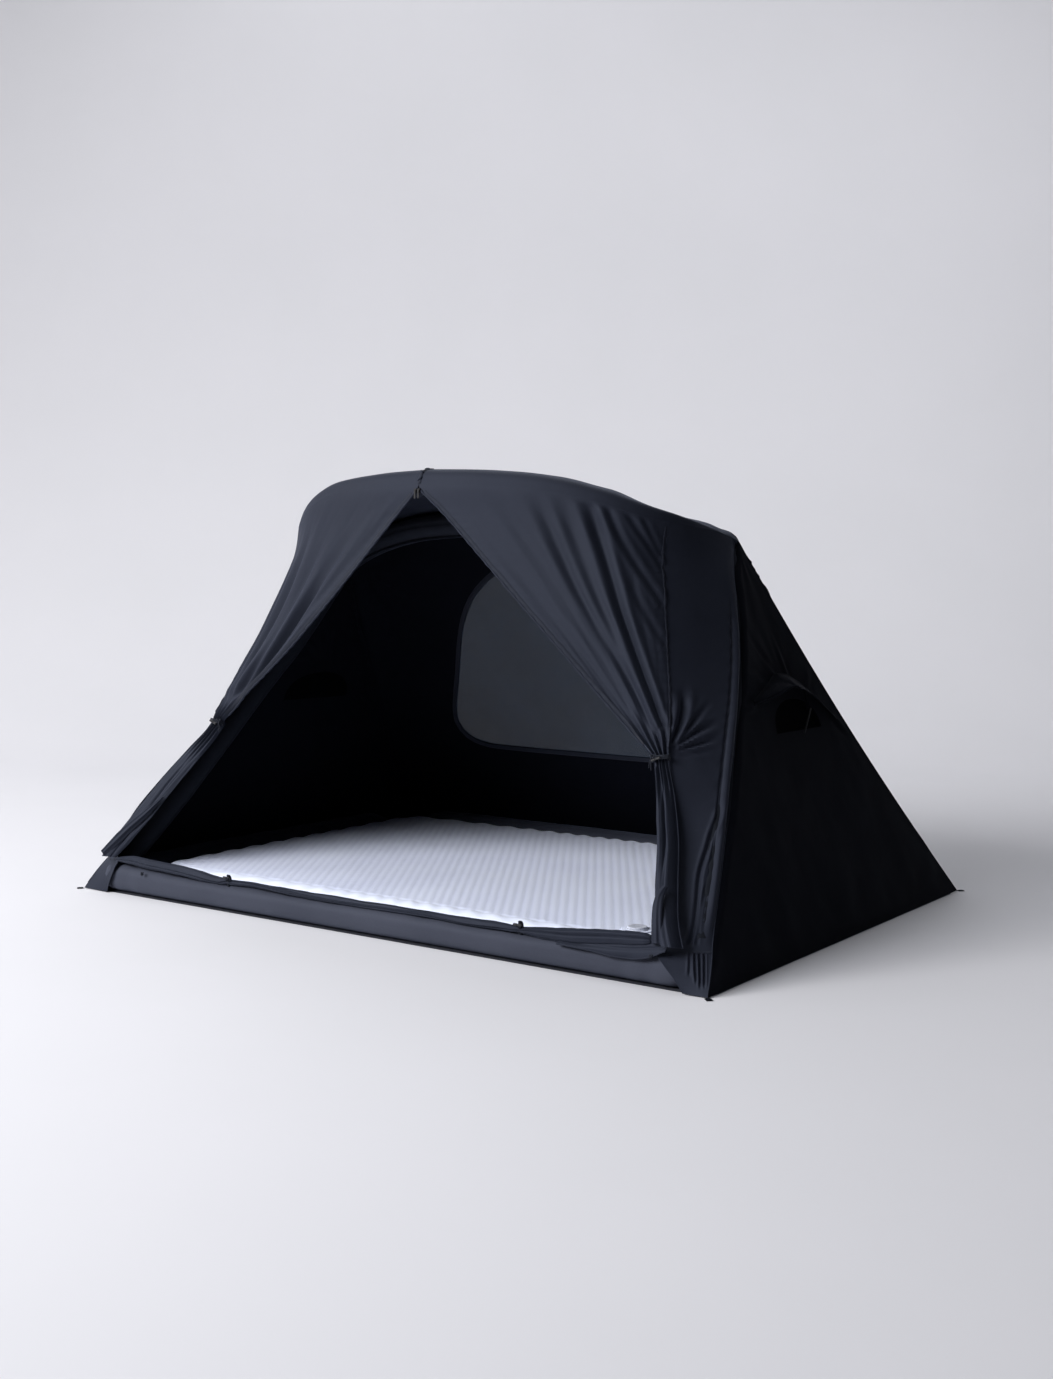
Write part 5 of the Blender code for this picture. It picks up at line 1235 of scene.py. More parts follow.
        # the left half hangs slacker: its free edge bows outward and down
        bow = np.sin(np.pi * np.clip(T2, 0, 1)) ** 0.9 * S2 ** 1.7
        g[..., 2] -= 0.050 * bow
        g[..., 0] += 0.022 * bow
    else:
        g[..., 2] -= 0.006 * np.sin(np.pi * T2) * S2 ** 2
    gm = mirror(g, side)
    n = outward(gm, (0, 0.35, 0.45))
    px, py = project(gm)
    width = np.linalg.norm(g[:, -1] - g[:, 0], axis=1)[:, None]
    seed = np.array([1.7 * side, 4.4, 9.2])
    ramp_in = 0.25 * step(0.0, 0.03, T2) + 0.75 * step(0.01, 0.14, T2)
    h = 0.0022 * fbm(np.stack([S2 * 6, T2 * 2.2, S2 * 0], 2) + seed, 3) * ramp_in
    # ridges that follow the fan, finer and tighter towards the tie
    lam = np.clip(width / 9.0, 0.006, 0.09)
    q1 = np.stack([S2 * 9.0 + 0.25 * perlin(gm * 5 + seed), T2 * 1.1, S2 * 0 + 3.3 * side], 2)
    q2 = np.stack([S2 * 21.0 + 0.5 * perlin(gm * 6 + seed), T2 * 2.3, S2 * 0 + 8.1 * side], 2)
    h = h + 0.085 * np.minimum(lam, 0.045) * perlin(q1) * ramp_in * (1.1 if side < 0 else 0.35)
    h = h + 0.030 * np.minimum(lam, 0.035) * perlin(q2) * ramp_in * (0.8 if side < 0 else 0.35)
    if side > 0:
        for pts, dep, w0_, w1_ in DOOR_FOLDS:
            h = h + fold(px, py, pts, dep, w0_, fade=(0.22, 0.02), width2=w1_)
    else:
        for c_, dep, w_ in ((0.90, 0.0050, 0.035), (0.76, 0.0065, 0.045), (0.60, 0.0060, 0.045), (0.44, 0.0065, 0.045),
                            (0.28, 0.0055, 0.040), (0.14, 0.0045, 0.035)):
            x = (S2 - c_ - 0.03 * np.sin(3 * T2 + c_ * 9)) / w_
            h = h + dep * np.minimum(1, width / 0.25) * (-np.exp(-x ** 2) + 0.55 * np.exp(-((x - 1.7)) ** 2) + 0.4 * np.exp(-((x + 1.7)) ** 2)) * step(0.06, 0.35, T2)
        h = h + fold(px, py, [(326, 572), (304, 606), (276, 646), (249, 680), (230, 703)], 0.014, 5.0, fade=(0.35, 0.10), width2=3.2)
    # puckers along the seam and along the hem
    dist_seam = S2 * width
    dist_free = (1 - S2) * width
    h = h + 0.0010 * np.sin(T2 * 120 + 14 * perlin(gm * 3 + seed)) * np.exp(-dist_seam / 0.03) * ramp_in
    h = h + 0.0008 * np.sin(T2 * 210 + 10 * perlin(gm * 4 + seed)) * np.exp(-dist_free / 0.025) * ramp_in
    # pleats where it is gathered
    gather = step(0.80, 1.0, T2)
    h = h * (1 - 0.75 * gather) + 0.0065 * gather * np.cos(2 * np.pi * 4.5 * S2 + 0.35)
    hold = step(0, 0.03, T2)
    upper = gm + n * (h * hold)[..., None]
    # painted shading on the upper door: fold crests lighter, valleys darker
    painted_shading_u = np.clip(h * 90, -1, 1)

    T3 = 150
    t = np.linspace(0, 1, T3 + 1)[1:]
    S3, T4 = np.meshgrid(s, t)
    # the middle line of the tail follows the seam down to the sill
    zt_ = WAIST_C[2] + (0.112 - WAIST_C[2]) * t
    edge_out = at_height(tail_skin[side], zt_)
    wdt = np.interp(t, [0, 0.12, 0.35, 0.7, 0.9, 1.0], [0.038, 0.045, 0.056, 0.060, 0.056, 0.056] if side > 0 else
                    [0.044, 0.064, 0.078, 0.082, 0.072, 0.060])
    inward = np.array([-0.93, -0.28, 0.0]) if side > 0 else np.array([-0.95, 0.18, 0.0])
    bow_in = np.array([0.0, -1.0, 0.25])
    a_out = edge_out + np.array([-0.004, 0.0, 0.0])
    blend0 = step(0, 0.10, t)[:, None]
    a_out = (WAIST_OUT[None] * (1 - blend0) + a_out * blend0)
    # strands: sp moves evenly, the folds overhang a little
    warp = S3 + 0.030 * perlin(np.stack([S3 * 3, T4 * 1.7, S3 * 0 + side * 4.4], 2))
    ph = 2 * np.pi * 2.5 * warp + 0.35 + 0.5 * np.sin(T4 * 2.2 + side)
    open_ = step(0.0, 0.25, T4)
    hang = 0.0105 * (0.75 + 0.25 * open_) * (1 - 0.25 * T4)
    acr = S3 * wdt[:, None]
    g = a_out[:, None] + inward * acr[..., None]
    fine = step(0.34, 0.06, T4)
    if side > 0:
        split = step(0.72, 0.45, T4)
        hh = (0.0105 * np.exp(-((S3 - 0.42) / 0.13) ** 2) + 0.0095 * np.exp(-((S3 - 0.82) / 0.16) ** 2)
              + 0.0095 * (1 - split) * np.exp(-((S3 - 0.62) / 0.16) ** 2)
              - 0.0070 * split * np.exp(-((S3 - 0.62 - 0.03 * T4) / 0.045) ** 2)
              - 0.0150 * np.exp(-((S3 - 0.14) / 0.09) ** 2) * step(0.04, 0.2, T4))
    else:
        hh = 0.0090 * np.sin(np.pi * np.clip(S3, 0, 1)) ** 0.7 - 0.0035 * np.exp(-((S3 - 0.5 - 0.2 * T4) / 0.06) ** 2) * step(0.1, 0.4, T4)
    hh = hh * (1 - 0.6 * fine) + fine * hang * 0.55 * np.cos(ph * 1.8)
    hh = hh + 0.0012 * fbm(np.stack([S3 * 7, T4 * 5, S3 * 0 + 2 * side], 2), 2)
    hh = hh * step(-0.02, 0.10, S3)
    g = g + bow_in * hh[..., None]
    lower = mirror(g, side)
    tails[tag] = lower
    h = hh
    full = np.vstack([upper, lower])
    # ease the step between the two parts
    k0 = T1
    for _ in range(12):
        seg = full[k0 - 8:k0 + 8]
        full[k0 - 7:k0 + 7] = (full[k0 - 8:k0 + 6] + full[k0 - 6:k0 + 8] + 2 * full[k0 - 7:k0 + 7]) / 4
    # the tail's strands get the same painted shading
    painted_shading = np.vstack([painted_shading_u, np.clip(h * 60, -1, 1)])
    # room for the toggle that turns in front of the tie
    tc_ = mirror(WAIST_C + np.array([0, -0.0215, 0]), 1 if tag == "right" else -1)
    away = np.hypot(full[..., 0] - tc_[0], full[..., 2] - tc_[2])
    full[..., 1] = np.maximum(full[..., 1], tc_[1] + 0.0056 - np.maximum(0, away - 0.0175) * 1.5)
    full = settle(full)
    door_grids[tag] = full
    ob = cloth("door_skin_" + tag, full, 0.0012, (0, 0.35, 0.45), M_CANOPY, painted_shading=painted_shading)
    add(ob, ["door_panel_" + tag])
    fn_ = outward(full, (0, 0.35, 0.45))
    # seam tape at the front panel, from the brow to the tie
    sel = np.arange(4, T1 - 8)
    ob1 = surface_strip("door_seam_" + tag, full[sel, 2] + fn_[sel, 2] * 0.0006, fn_[sel, 2], 0.0060, 0.0009, M_SEAM, 0.0004)
    # rolled hem with the zip tape on the free edge
    dd = np.linalg.norm(full[:, -1:] - full, axis=2)
    ci = np.argmin(np.abs(dd - 0.010), axis=1)
    sel = np.arange(5, int(T1 * 0.955))
    ob2 = surface_strip("door_hem_tape_" + tag, full[sel, ci[sel]] + fn_[sel, ci[sel]] * 0.0004, fn_[sel, ci[sel]], 0.013, 0.0008, M_WEB,
                        0.0006, nodes_to=["door_zip_tape_" + tag])
    sel = np.arange(3, int(T1 * 0.965))
    ob3 = tube("door_hem_roll_" + tag, full[sel, -1], 0.0032 + 0.0006 * np.sin(np.arange(len(sel)) * 0.9), 10, M_CANOPY)
    add(ob3)

# ------------------------------------------------------------------ inflated base ring in its sleeves
SEC = 64
wsec = 2 * np.pi * np.arange(SEC) / SEC
su = np.sign(np.cos(wsec)) * np.abs(np.cos(wsec)) ** (2 / 3.0) * TUBE_W / 2
sv = np.sign(np.sin(wsec)) * np.abs(np.sin(wsec)) ** (2 / 3.0) * TUBE_H / 2
ZC = TUBE_Z0 + TUBE_H / 2


def sleeve(name, along, at, count, seedn):
    """A base tube in its cloth sleeve between two mitred corners, puckered where it narrows into them."""
    lo, hi = along(su)
    f = np.r_[np.linspace(0, 0.09, 26)[:-1], np.linspace(0.09, 0.91, count), np.linspace(0.91, 1, 26)[1:]]
    near_end = 0.085
    rows_ = []
    for q in f:
        d_end = min(q, 1 - q) * (hi.max() - lo.min())
        k = 1 - step(0, near_end, d_end)
        u_ = np.where(su > 0, su * (1 - 0.50 * k), su)
        v_ = (sv + TUBE_H / 2) * (1 - 0.03 * k) - TUBE_H / 2
        lo2, hi2 = along(u_)
        s_ = lo2 + (hi2 - lo2) * q
        a_ = np.stack(at(s_, u_), 1)
        p = np.stack([a_[:, 0], a_[:, 1], ZC + v_], 1)
        if p[:, 1].mean() > 0:                  # the rear corners are drawn down to a point
            low_end = 1 - step(0, 0.24, d_end)
            p[:, 2] = ZC - TUBE_H / 2 + (v_ + TUBE_H / 2) * (1 - 0.72 * low_end)
        ctr_ = np.stack(at(s_, u_ * 0), 1)
        nrm_ = np.stack([a_[:, 0] - ctr_[:, 0], a_[:, 1] - ctr_[:, 1], v_ * 1.1], 1)
        nrm_ = unit(nrm_)
        w_ = 0.0012 * fbm(np.stack([s_ * 5, u_ * 9, v_ * 9], 1) + seedn, 3)
        w_ += 0.0042 * np.sin(wsec * 9 + seedn + 2.5 * perlin(np.stack([s_ * 8, u_ * 5, v_ * 5], 1))) * k * (0.25 if name.endswith("front") else 1.0) * (1 - step(0.0, 0.02, 0.02 - d_end) * 0.3)
        w_ += 0.0012 * np.sin(s_ * 70 + seedn + 3 * perlin(np.stack([s_ * 4, u_ * 7, v_ * 7], 1))) * step(0.35, 0.10, d_end)
        top = step(0.2, 0.9, np.sin(wsec))
        w_ += 0.0016 * creases(np.stack([s_ * 8, u_ * 14, v_ * 9], 1) + seedn, 2) * top
        flat_ = step(-0.95, -0.75, v_ / (TUBE_H / 2))
        if name.endswith("front"):
            p[:, 2] -= 0.0085 * step(-0.2, 1.0, v_ / (TUBE_H / 2)) * step(1.0, 0.55, np.abs(p[:, 0]))
        rows_.append(p + nrm_ * ((w_ - 0.0008) * flat_)[:, None])
    g_ = np.array(rows_)
    r_, k_ = g_.shape[:2]
    i, j = np.meshgrid(np.arange(r_ - 1), np.arange(k_), indexing="ij")
    quads = np.stack([i * k_ + j, i * k_ + (j + 1) % k_, (i + 1) * k_ + (j + 1) % k_, (i + 1) * k_ + j], -1).reshape(-1, 4)
    verts = np.vstack([g_.reshape(-1, 3), g_[0].mean(0), g_[-1].mean(0)])
    nv = r_ * k_
    q = quads[(r_ // 2) * k_ + 3]
    fn = np.cross(verts[q[1]] - verts[q[0]], verts[q[3]] - verts[q[0]])
    flip = np.dot(fn, verts[q[0]] - g_[r_ // 2].mean(0)) < 0
    tris = [((m + 1) % k_, m, nv) for m in range(k_)] + [((r_ - 1) * k_ + m, (r_ - 1) * k_ + (m + 1) % k_, nv + 1) for m in range(k_)]
    if flip:
        quads = quads[:, ::-1]
        tris = [t_[::-1] for t_ in tris]
    L = np.cumsum(np.r_[0, np.linalg.norm(np.diff(g_[:, 0], axis=0), axis=1)])
    per = np.cumsum(np.r_[0, np.linalg.norm(np.diff(g_[r_ // 2], axis=0), axis=1)])
    uv = np.stack(np.broadcast_arrays(L[:, None], per[None, :]), -1).reshape(-1, 2)
    uv = np.vstack([uv, uv[:1], uv[-1:]])
    # the sleeves take the painted-light copy of the canopy cloth
    ob_ = build(name, verts, quads, M_TUBE_PAINTED_LIGHT, uv, tris=tris)
    return ob_, g_


sleeves = {}
for name, along, at, cnt in (
        ("front", lambda u: (-(BASE_CX + u), BASE_CX + u), lambda s_, u: (s_, -(BASE_CYF + u)), 260),
        ("rear", lambda u: (-(BASE_CX + u), BASE_CX + u), lambda s_, u: (s_, BASE_CYR + u), 160),
        ("right", lambda u: (-(BASE_CYF + u), BASE_CYR + u), lambda s_, u: (BASE_CX + u, s_), 130),
        ("left", lambda u: (-(BASE_CYF + u), BASE_CYR + u), lambda s_, u: (-(BASE_CX + u), s_), 130)):
    ob, gg = sleeve("base_sleeve_" + name, along, at, cnt, {"front": 1.0, "rear": 5.0, "right": 9.0, "left": 13.0}[name])
    if name == "right":
        fvx, fvy = 1.0640, 0.3500
        k = 32
        ring = [(fvx + 0.0216 * math.cos(2 * math.pi * i / k), fvy + 0.0216 * math.sin(2 * math.pi * i / k)) for i in range(k)]
        cut(ob, [(x, y, 0.0904 - 0.027) for x, y in ring] + [(x, y, 0.12) for x, y in ring],
            [tuple(range(k)), tuple(range(k, 2 * k))[::-1]] + [(i, (i + 1) % k, k + (i + 1) % k, k + i) for i in range(k)])
    add(ob, ["base_tube_" + name])
    sleeves[name] = gg

# a seam along the upper edge of the sill where the sleeve is closed
gg = sleeves["front"]
kk = int(np.argmin(np.abs(wsec - math.radians(96))))
ctr_line = gg.mean(axis=1)
nn = unit(gg[:, kk] - ctr_line)
ob = strip("sill_top_seam", gg[12:-12, kk] + nn[12:-12] * 0.0004, unit(np.cross(nn[12:-12], np.tile([1.0, 0, 0], (len(gg) - 24, 1)))), nn[12:-12], 0.008, 0.0010, M_SEAM, crown=0.0006)
add(ob)

# ------------------------------------------------------------------ arch tubes in their sleeves


def arch_sleeve(name, axis_half, radius, node_name, count, groove_dir, seedn):
    path = resample(whole(spline(axis_half, 400)), count)
    tang = unit(np.gradient(path, axis=0))
    sides = 44
    w = 2 * np.pi * np.arange(sides) / sides
    rows_ = []
    for i in range(count):
        ref_ = np.array(groove_dir, float)
        a_ = ref_ - tang[i] * np.dot(ref_, tang[i])
        a_ /= np.linalg.norm(a_)
        b_ = np.cross(tang[i], a_)
        ww = (w + np.pi) % (2 * np.pi) - np.pi
        sc = 1 - 0.075 * np.exp(-(ww / 0.10) ** 2) + 0.02 * np.exp(-((np.abs(ww) - 0.30) / 0.16) ** 2)
        rad = radius * sc
        p = path[i] + rad[:, None] * (np.cos(w)[:, None] * a_ + np.sin(w)[:, None] * b_)
        curl = 0.0010 * fbm(p * 9 + seedn, 2) + 0.0016 * np.sin(i * 0.9 + 2 * perlin(p * 6)) * np.exp(-(ww / 0.5) ** 2)
        rows_.append(p + (p - path[i]) / radius * curl[:, None])
    g_ = np.array(rows_)
    if node_name == "main_arch_tube":
        g_[0, :, 2] = np.maximum(g_[0, :, 2] * 0 + 0.0912, 0.0912)
        g_[-1, :, 2] = 0.0912
        g_[..., 2] = np.maximum(g_[..., 2], 0.0912)
    g_ = settle(g_)
    r_, k_ = g_.shape[:2]
    i, j = np.meshgrid(np.arange(r_ - 1), np.arange(k_), indexing="ij")
    quads = np.stack([i * k_ + j, i * k_ + (j + 1) % k_, (i + 1) * k_ + (j + 1) % k_, (i + 1) * k_ + j], -1).reshape(-1, 4)
    verts = np.vstack([g_.reshape(-1, 3), g_[0].mean(0), g_[-1].mean(0)])
    q = quads[(r_ // 2) * k_ + 3]
    fn = np.cross(verts[q[1]] - verts[q[0]], verts[q[3]] - verts[q[0]])
    flip = np.dot(fn, verts[q[0]] - g_[r_ // 2].mean(0)) < 0
    nv = r_ * k_
    tris = [((m + 1) % k_, m, nv) for m in range(k_)] + [((r_ - 1) * k_ + m, (r_ - 1) * k_ + (m + 1) % k_, nv + 1) for m in range(k_)]
    if flip:
        quads = quads[:, ::-1]
        tris = [t_[::-1] for t_ in tris]
    L = np.cumsum(np.r_[0, np.linalg.norm(np.diff(g_[:, 0], axis=0), axis=1)])
    uv = np.stack(np.broadcast_arrays(L[:, None], (w * radius)[None, :]), -1).reshape(-1, 2)
    uv = np.vstack([uv, uv[:1], uv[-1:]])
    # painted shade on the arch legs below the crossbar and painted light on the crossbar, through the per-vertex
    # shading number
    ob_ = build(name, verts, quads, M_ARCH_PAINTED_SHADE, uv, tris=tris, painted_shading=-1.0 + 1.5 * step(0.98, 1.13, verts[:, 2]))
    add(ob_, [node_name])
    return g_


ga = arch_sleeve("main_arch_sleeve", ARCH_AXIS, ARCH_R, "main_arch_tube", 420, (0.0, -0.99, 0.14), 3.3)
gv = arch_sleeve("visor_arch_sleeve", VISOR_AXIS, VISOR_R - 0.001, "visor_arch_tube", 220, (0.0, 0.7, -0.7), 8.8)
# a narrow sewn flange under the crossbar of the main arch
sel = [i for i in range(len(ga)) if ga[i].mean(0)[2] > 1.08]
ct = ga[sel].mean(axis=1)
dirn = unit(np.array([0, -0.55, -0.83]) * np.ones_like(ct))
tg = unit(np.gradient(ct, axis=0))
dirn = unit(dirn - tg * np.sum(dirn * tg, axis=1, keepdims=True))
pl = ct + dirn * (ARCH_R + 0.0005)
ob = strip("main_arch_flange", pl + dirn * 0.004, dirn, unit(np.cross(tg, dirn)), 0.011, 0.0018, M_SEAM, crown=0.0008)
add(ob)

# ------------------------------------------------------------------ ground sheet
nx, ny = 160, 116
gx, gy = np.meshgrid(np.linspace(-HX + 0.001, HX - 0.001, nx), np.linspace(-HY + 0.001, HY - 0.001, ny))
cornr = np.clip((np.abs(gx) - (HX - 0.03)) + (np.abs(gy) - (HY - 0.03)), 0, 0.03)
gx = gx - np.sign(gx) * cornr * 0.25
gy = gy - np.sign(gy) * cornr * 0.25
gy = np.maximum(gy, -HY + 0.016)               # tucked under the front sill
gz = 0.0016 + 0.0004 * fbm(np.stack([gx * 6, gy * 6, gx * 0], 2), 2)
gz = np.clip(gz, 0.0011, 0.0021)
ob = cloth("ground_sheet", np.stack([gx, gy, gz], 2), 0.0010, (0, 0, -1), M_FLOOR)
add(ob, ["floor_sheet"])

# ------------------------------------------------------------------ the mattress
M_BED, nt, bsdf = new_material("mattress_cloth")
tc = node(nt, "ShaderNodeTexCoord")
k = 2 * math.pi / (20 * 0.0012)
wx = node(nt, "ShaderNodeTexWave", bands_direction='X', Scale=k)
wy = node(nt, "ShaderNodeTexWave", bands_direction='Y', Scale=k)
nt.links.new(tc.outputs["UV"], wx.inputs["Vector"])
nt.links.new(tc.outputs["UV"], wy.inputs["Vector"])
th_ = math_node(nt, 'MULTIPLY', wx.outputs["Fac"], wy.outputs["Fac"])
n1 = node(nt, "ShaderNodeTexNoise", Scale=3.2, Detail=4.0)
n2 = node(nt, "ShaderNodeTexNoise", Scale=420.0, Detail=2.0)
nt.links.new(tc.outputs["Object"], n1.inputs["Vector"])
nt.links.new(tc.outputs["Object"], n2.inputs["Vector"])
mixv = math_node(nt, 'ADD', math_node(nt, 'MULTIPLY', n1.outputs["Fac"], 0.6), math_node(nt, 'MULTIPLY', n2.outputs["Fac"], 0.4))
# painted shading on the mattress: rib valleys darker, rib crests lighter
att = node(nt, "ShaderNodeAttribute", attribute_name="painted_shading")
mixv = math_node(nt, 'ADD', mixv, math_node(nt, 'MULTIPLY', att.outputs["Fac"], 0.28))
nt.links.new(ramp(nt, mixv, [(0.20, (0.655, 0.705, 0.91)), (0.52, (0.75, 0.805, 0.99)), (0.80, (0.79, 0.845, 1.0))]), bsdf.inputs["Base Color"])
mr = node(nt, "ShaderNodeMapRange")
mr.inputs["To Min"].default_value, mr.inputs["To Max"].default_value = 0.62, 0.85
nt.links.new(n1.outputs["Fac"], mr.inputs["Value"])
nt.links.new(mr.outputs[0], bsdf.inputs["Roughness"])
b1 = node(nt, "ShaderNodeBump", Strength=0.35, Distance=0.0004)
nt.links.new(th_, b1.inputs["Height"])
b2 = node(nt, "ShaderNodeBump", Strength=0.25, Distance=0.0006)
nt.links.new(n2.outputs["Fac"], b2.inputs["Height"])
nt.links.new(b1.outputs[0], b2.inputs["Normal"])
nt.links.new(b2.outputs[0], bsdf.inputs["Normal"])
bsdf.inputs["Sheen Weight"].default_value = 0.25
bsdf.inputs["Sheen Roughness"].default_value = 0.5
bsdf.inputs["Specular IOR Level"].default_value = 0.3
M_BED.diffuse_color = (0.6, 0.63, 0.78, 1)


def inside_depth(x, y):
    """Distance inside the bed's rounded outline."""
    qx = np.abs(x) - (BED_W / 2 - BED_CORNER)
    qy = np.abs(y) - (BED_D / 2 - BED_CORNER)
    outside = np.hypot(np.maximum(qx, 0), np.maximum(qy, 0)) + np.minimum(np.maximum(qx, qy), 0) - BED_CORNER
    return -outside


# top: a square grid squeezed onto the rounded outline
NXB, NYB = 420, 284
sx_, sy_ = np.meshgrid(np.linspace(-1, 1, NXB), np.linspace(-1, 1, NYB))


def squeeze(a_, b_, inset):
    """Grid of the unit square laid over a rounded rectangle: straight inside, easing round the corners."""
    W_, D_ = BED_W / 2 - inset, BED_D / 2 - inset
    r = max(BED_CORNER - inset, 0.02)
    x, y = a_ * W_, b_ * D_
    qx, qy = np.abs(x) - (W_ - r), np.abs(y) - (D_ - r)
    m = (qx > 0) & (qy > 0)
    qx_, qy_ = np.where(m, qx, 1), np.where(m, qy, 1)
    big = np.maximum(qx_, qy_)
    f_ = big / np.hypot(qx_, qy_)
    x = np.where(m, np.sign(x) * (W_ - r + qx_ * f_), x)
    y = np.where(m, np.sign(y) * (D_ - r + qy_ * f_), y)
    return x, y


PIPE = 0.0065                      # the piped edge keeps this much of the outline
EDGE_IN = 0.030
tx, ty = squeeze(sx_, sy_, 0.0)
depth_in = inside_depth(tx, ty)


def rib(x, y):
    """Height of the fine diagonal ribs: rounded crests and narrow valleys, pitch 26 mm, at 33 degrees from +Y."""
    a_ = math.radians(33)
    c_ = x * math.cos(a_) + y * math.sin(a_)
    ph = np.pi * c_ / 0.026
    r_ = np.abs(np.sin(ph)) ** 0.75
    d_ = -x * math.sin(a_) + y * math.cos(a_)
    cross_ = np.abs(np.sin(np.pi * d_ / 0.030)) ** 0.6
    k_ = step(0.25, -0.35, x)                      # the left part is quilted both ways, in small lozenges
    return r_ * (1 - 0.55 * k_) + 0.55 * k_ * r_ * cross_


ribs = rib(tx, ty)
face = step(0.022, 0.055, depth_in)
crown_h = 0.0055 * (1 - (np.abs(sx_) ** 3)) * (1 - np.abs(sy_) ** 3)
# the cloth rounds down to the edge seam
drop = 0.020 * (1 - np.sqrt(np.clip(1 - (1 - np.clip(depth_in / 0.036, 0, 1)) ** 2, 0, 1)))
topz = BED_TOP - 0.0034 + 0.0015 * ribs * face + crown_h * 0.5 - drop
topz = topz + 0.0012 * fbm(np.stack([tx * 3, ty * 3, tx * 0], 2), 2) * face
topz = topz + 0.0020 * np.sin((np.arctan2(ty, tx) * 60)) * step(0.05, 0.03, depth_in) * step(0.004, 0.02, depth_in)
topz = topz - 0.0016 * np.exp(-((depth_in - 0.040) / 0.005) ** 2)
# side wall and underside share the outline ring of the grid
top_grid = np.stack([tx, ty + BED_CY, topz], 2)
ring_idx = ([(0, j) for j in range(NXB)] + [(i, NXB - 1) for i in range(1, NYB)] +
            [(NYB - 1, j) for j in range(NXB - 2, -1, -1)] + [(i, 0) for i in range(NYB - 2, 0, -1)])
ri = np.array([i * NXB + j for i, j in ring_idx])
ring0 = top_grid.reshape(-1, 3)[ri]
cen = np.array([0, BED_CY])
out2 = np.roll(ring0, -1, 0) - np.roll(ring0, 1, 0)
out2 = unit(np.stack([out2[:, 1], -out2[:, 0]], 1))
sgn = np.sign(np.sum(out2 * (ring0[:, :2] - cen), axis=1, keepdims=True))
out2 = out2 * sgn
perim = np.r_[0, np.cumsum(np.linalg.norm(np.diff(ring0[:, :2], axis=0), axis=1))]
rings_ = []
prof = [(0.0035, -0.0010), (0.0052, -0.0030), (0.0045, -0.0055), (0.0012, -0.0078), (0.0018, -0.0120), (0.0040, -0.022), (0.0048, -0.034),
        (0.0030, -0.046), (-0.0010, -0.0545), (-0.010, -0.0585), (-0.03, -0.0605)]
for off, dz in prof:
    ripple = 0.0008 * np.sin(perim * 120) * (1 if -0.05 < dz < -0.008 else 0)
    rings_.append(np.column_stack([ring0[:, :2] + out2 * (off - 0.0052 + ripple)[:, None], ring0[:, 2] + dz]))
low_z = rings_[-1][:, 2].min()
for q in rings_:
    q[:, 2] = np.maximum(q[:, 2], BED_Z0)
rings_[-1][:, 2] = BED_Z0
verts = np.vstack([top_grid.reshape(-1, 3)] + rings_)
i, j = np.meshgrid(np.arange(NYB - 1), np.arange(NXB - 1), indexing="ij")
quads = np.stack([i * NXB + j, i * NXB + j + 1, (i + 1) * NXB + j + 1, (i + 1) * NXB + j], -1).reshape(-1, 4)
m = len(ri)
base0 = NXB * NYB
prev = ri
side_q = []
for q in range(len(rings_)):
    cur = base0 + q * m + np.arange(m)
    side_q.append(np.stack([np.roll(prev, -1), prev, cur, np.roll(cur, -1)], 1))
    prev = cur
quads = np.vstack([quads] + side_q)
cv = len(verts)
verts = np.vstack([verts, [[0, BED_CY, BED_Z0]]])
tris = [(int(prev[(a_ + 1) % m]), int(prev[a_]), cv) for a_ in range(m)]
uv = np.vstack([top_grid.reshape(-1, 3)[:, :2]] + [np.stack([perim, np.full(m, 1 + 0.01 * q)], 1) for q in range(len(rings_))] + [[[0, 0]]])
# painted shading: rib valleys darker and crests lighter; the band along the rounded edge and the sides are set lighter
painted_shading = np.r_[((ribs - 0.65) * face + 1.1 * (1 - face)).ravel(), np.full(m * len(rings_) + 1, 0.6)]
ob = build("mattress_body", verts, quads, M_BED, uv, tris=tris, painted_shading=painted_shading)
bm = bmesh.new()
bm.from_mesh(ob.data)
bmesh.ops.recalc_face_normals(bm, faces=bm.faces)
bm.to_mesh(ob.data)
bm.free()
k = 40
ring = [(MAT_VALVE[0] + 0.0216 * math.cos(2 * math.pi * i / k), MAT_VALVE[1] + 0.0216 * math.sin(2 * math.pi * i / k)) for i in range(k)]
cut(ob, [(x, y, BED_TOP - 0.027) for x, y in ring] + [(x, y, BED_TOP + 0.03) for x, y in ring],
    [tuple(range(k)), tuple(range(k, 2 * k))[::-1]] + [(i, (i + 1) % k, k + (i + 1) % k, k + i) for i in range(k)])
add(ob, ["mattress"])
# welded patch round the valve
w = np.linspace(0, 2 * np.pi, 49)
pl = np.stack([MAT_VALVE[0] + 0.037 * np.cos(w), MAT_VALVE[1] + 0.037 * np.sin(w), np.full(49, BED_TOP - 0.0010)], 1)
rd = np.stack([np.cos(w), np.sin(w), np.zeros(49)], 1)
ob = strip("mattress_valve_patch", pl, rd, np.tile([0, 0, 1.0], (49, 1)), 0.014, 0.0014, M_BED, crown=0.0004)
add(ob)

# ------------------------------------------------------------------ rolled hem of the doorway along the sill
def knot(name, centre, size, radius, body_mat, face_dir=(0, -1, 0)):
    """A small overhand knot, drawn as one closed loop of cord."""
    w_ = np.linspace(0, 2 * np.pi, 90)
    x_ = (np.sin(w_) + 2 * np.sin(2 * w_)) * size / 3
    z_ = (np.cos(w_) - 2 * np.cos(2 * w_)) * size / 3
    y_ = -np.sin(3 * w_) * size * 0.45
    p = np.stack([x_, y_, z_], 1) + np.array(centre)
    return tube(name, p[:-1], radius, 12, body_mat, closed=True)


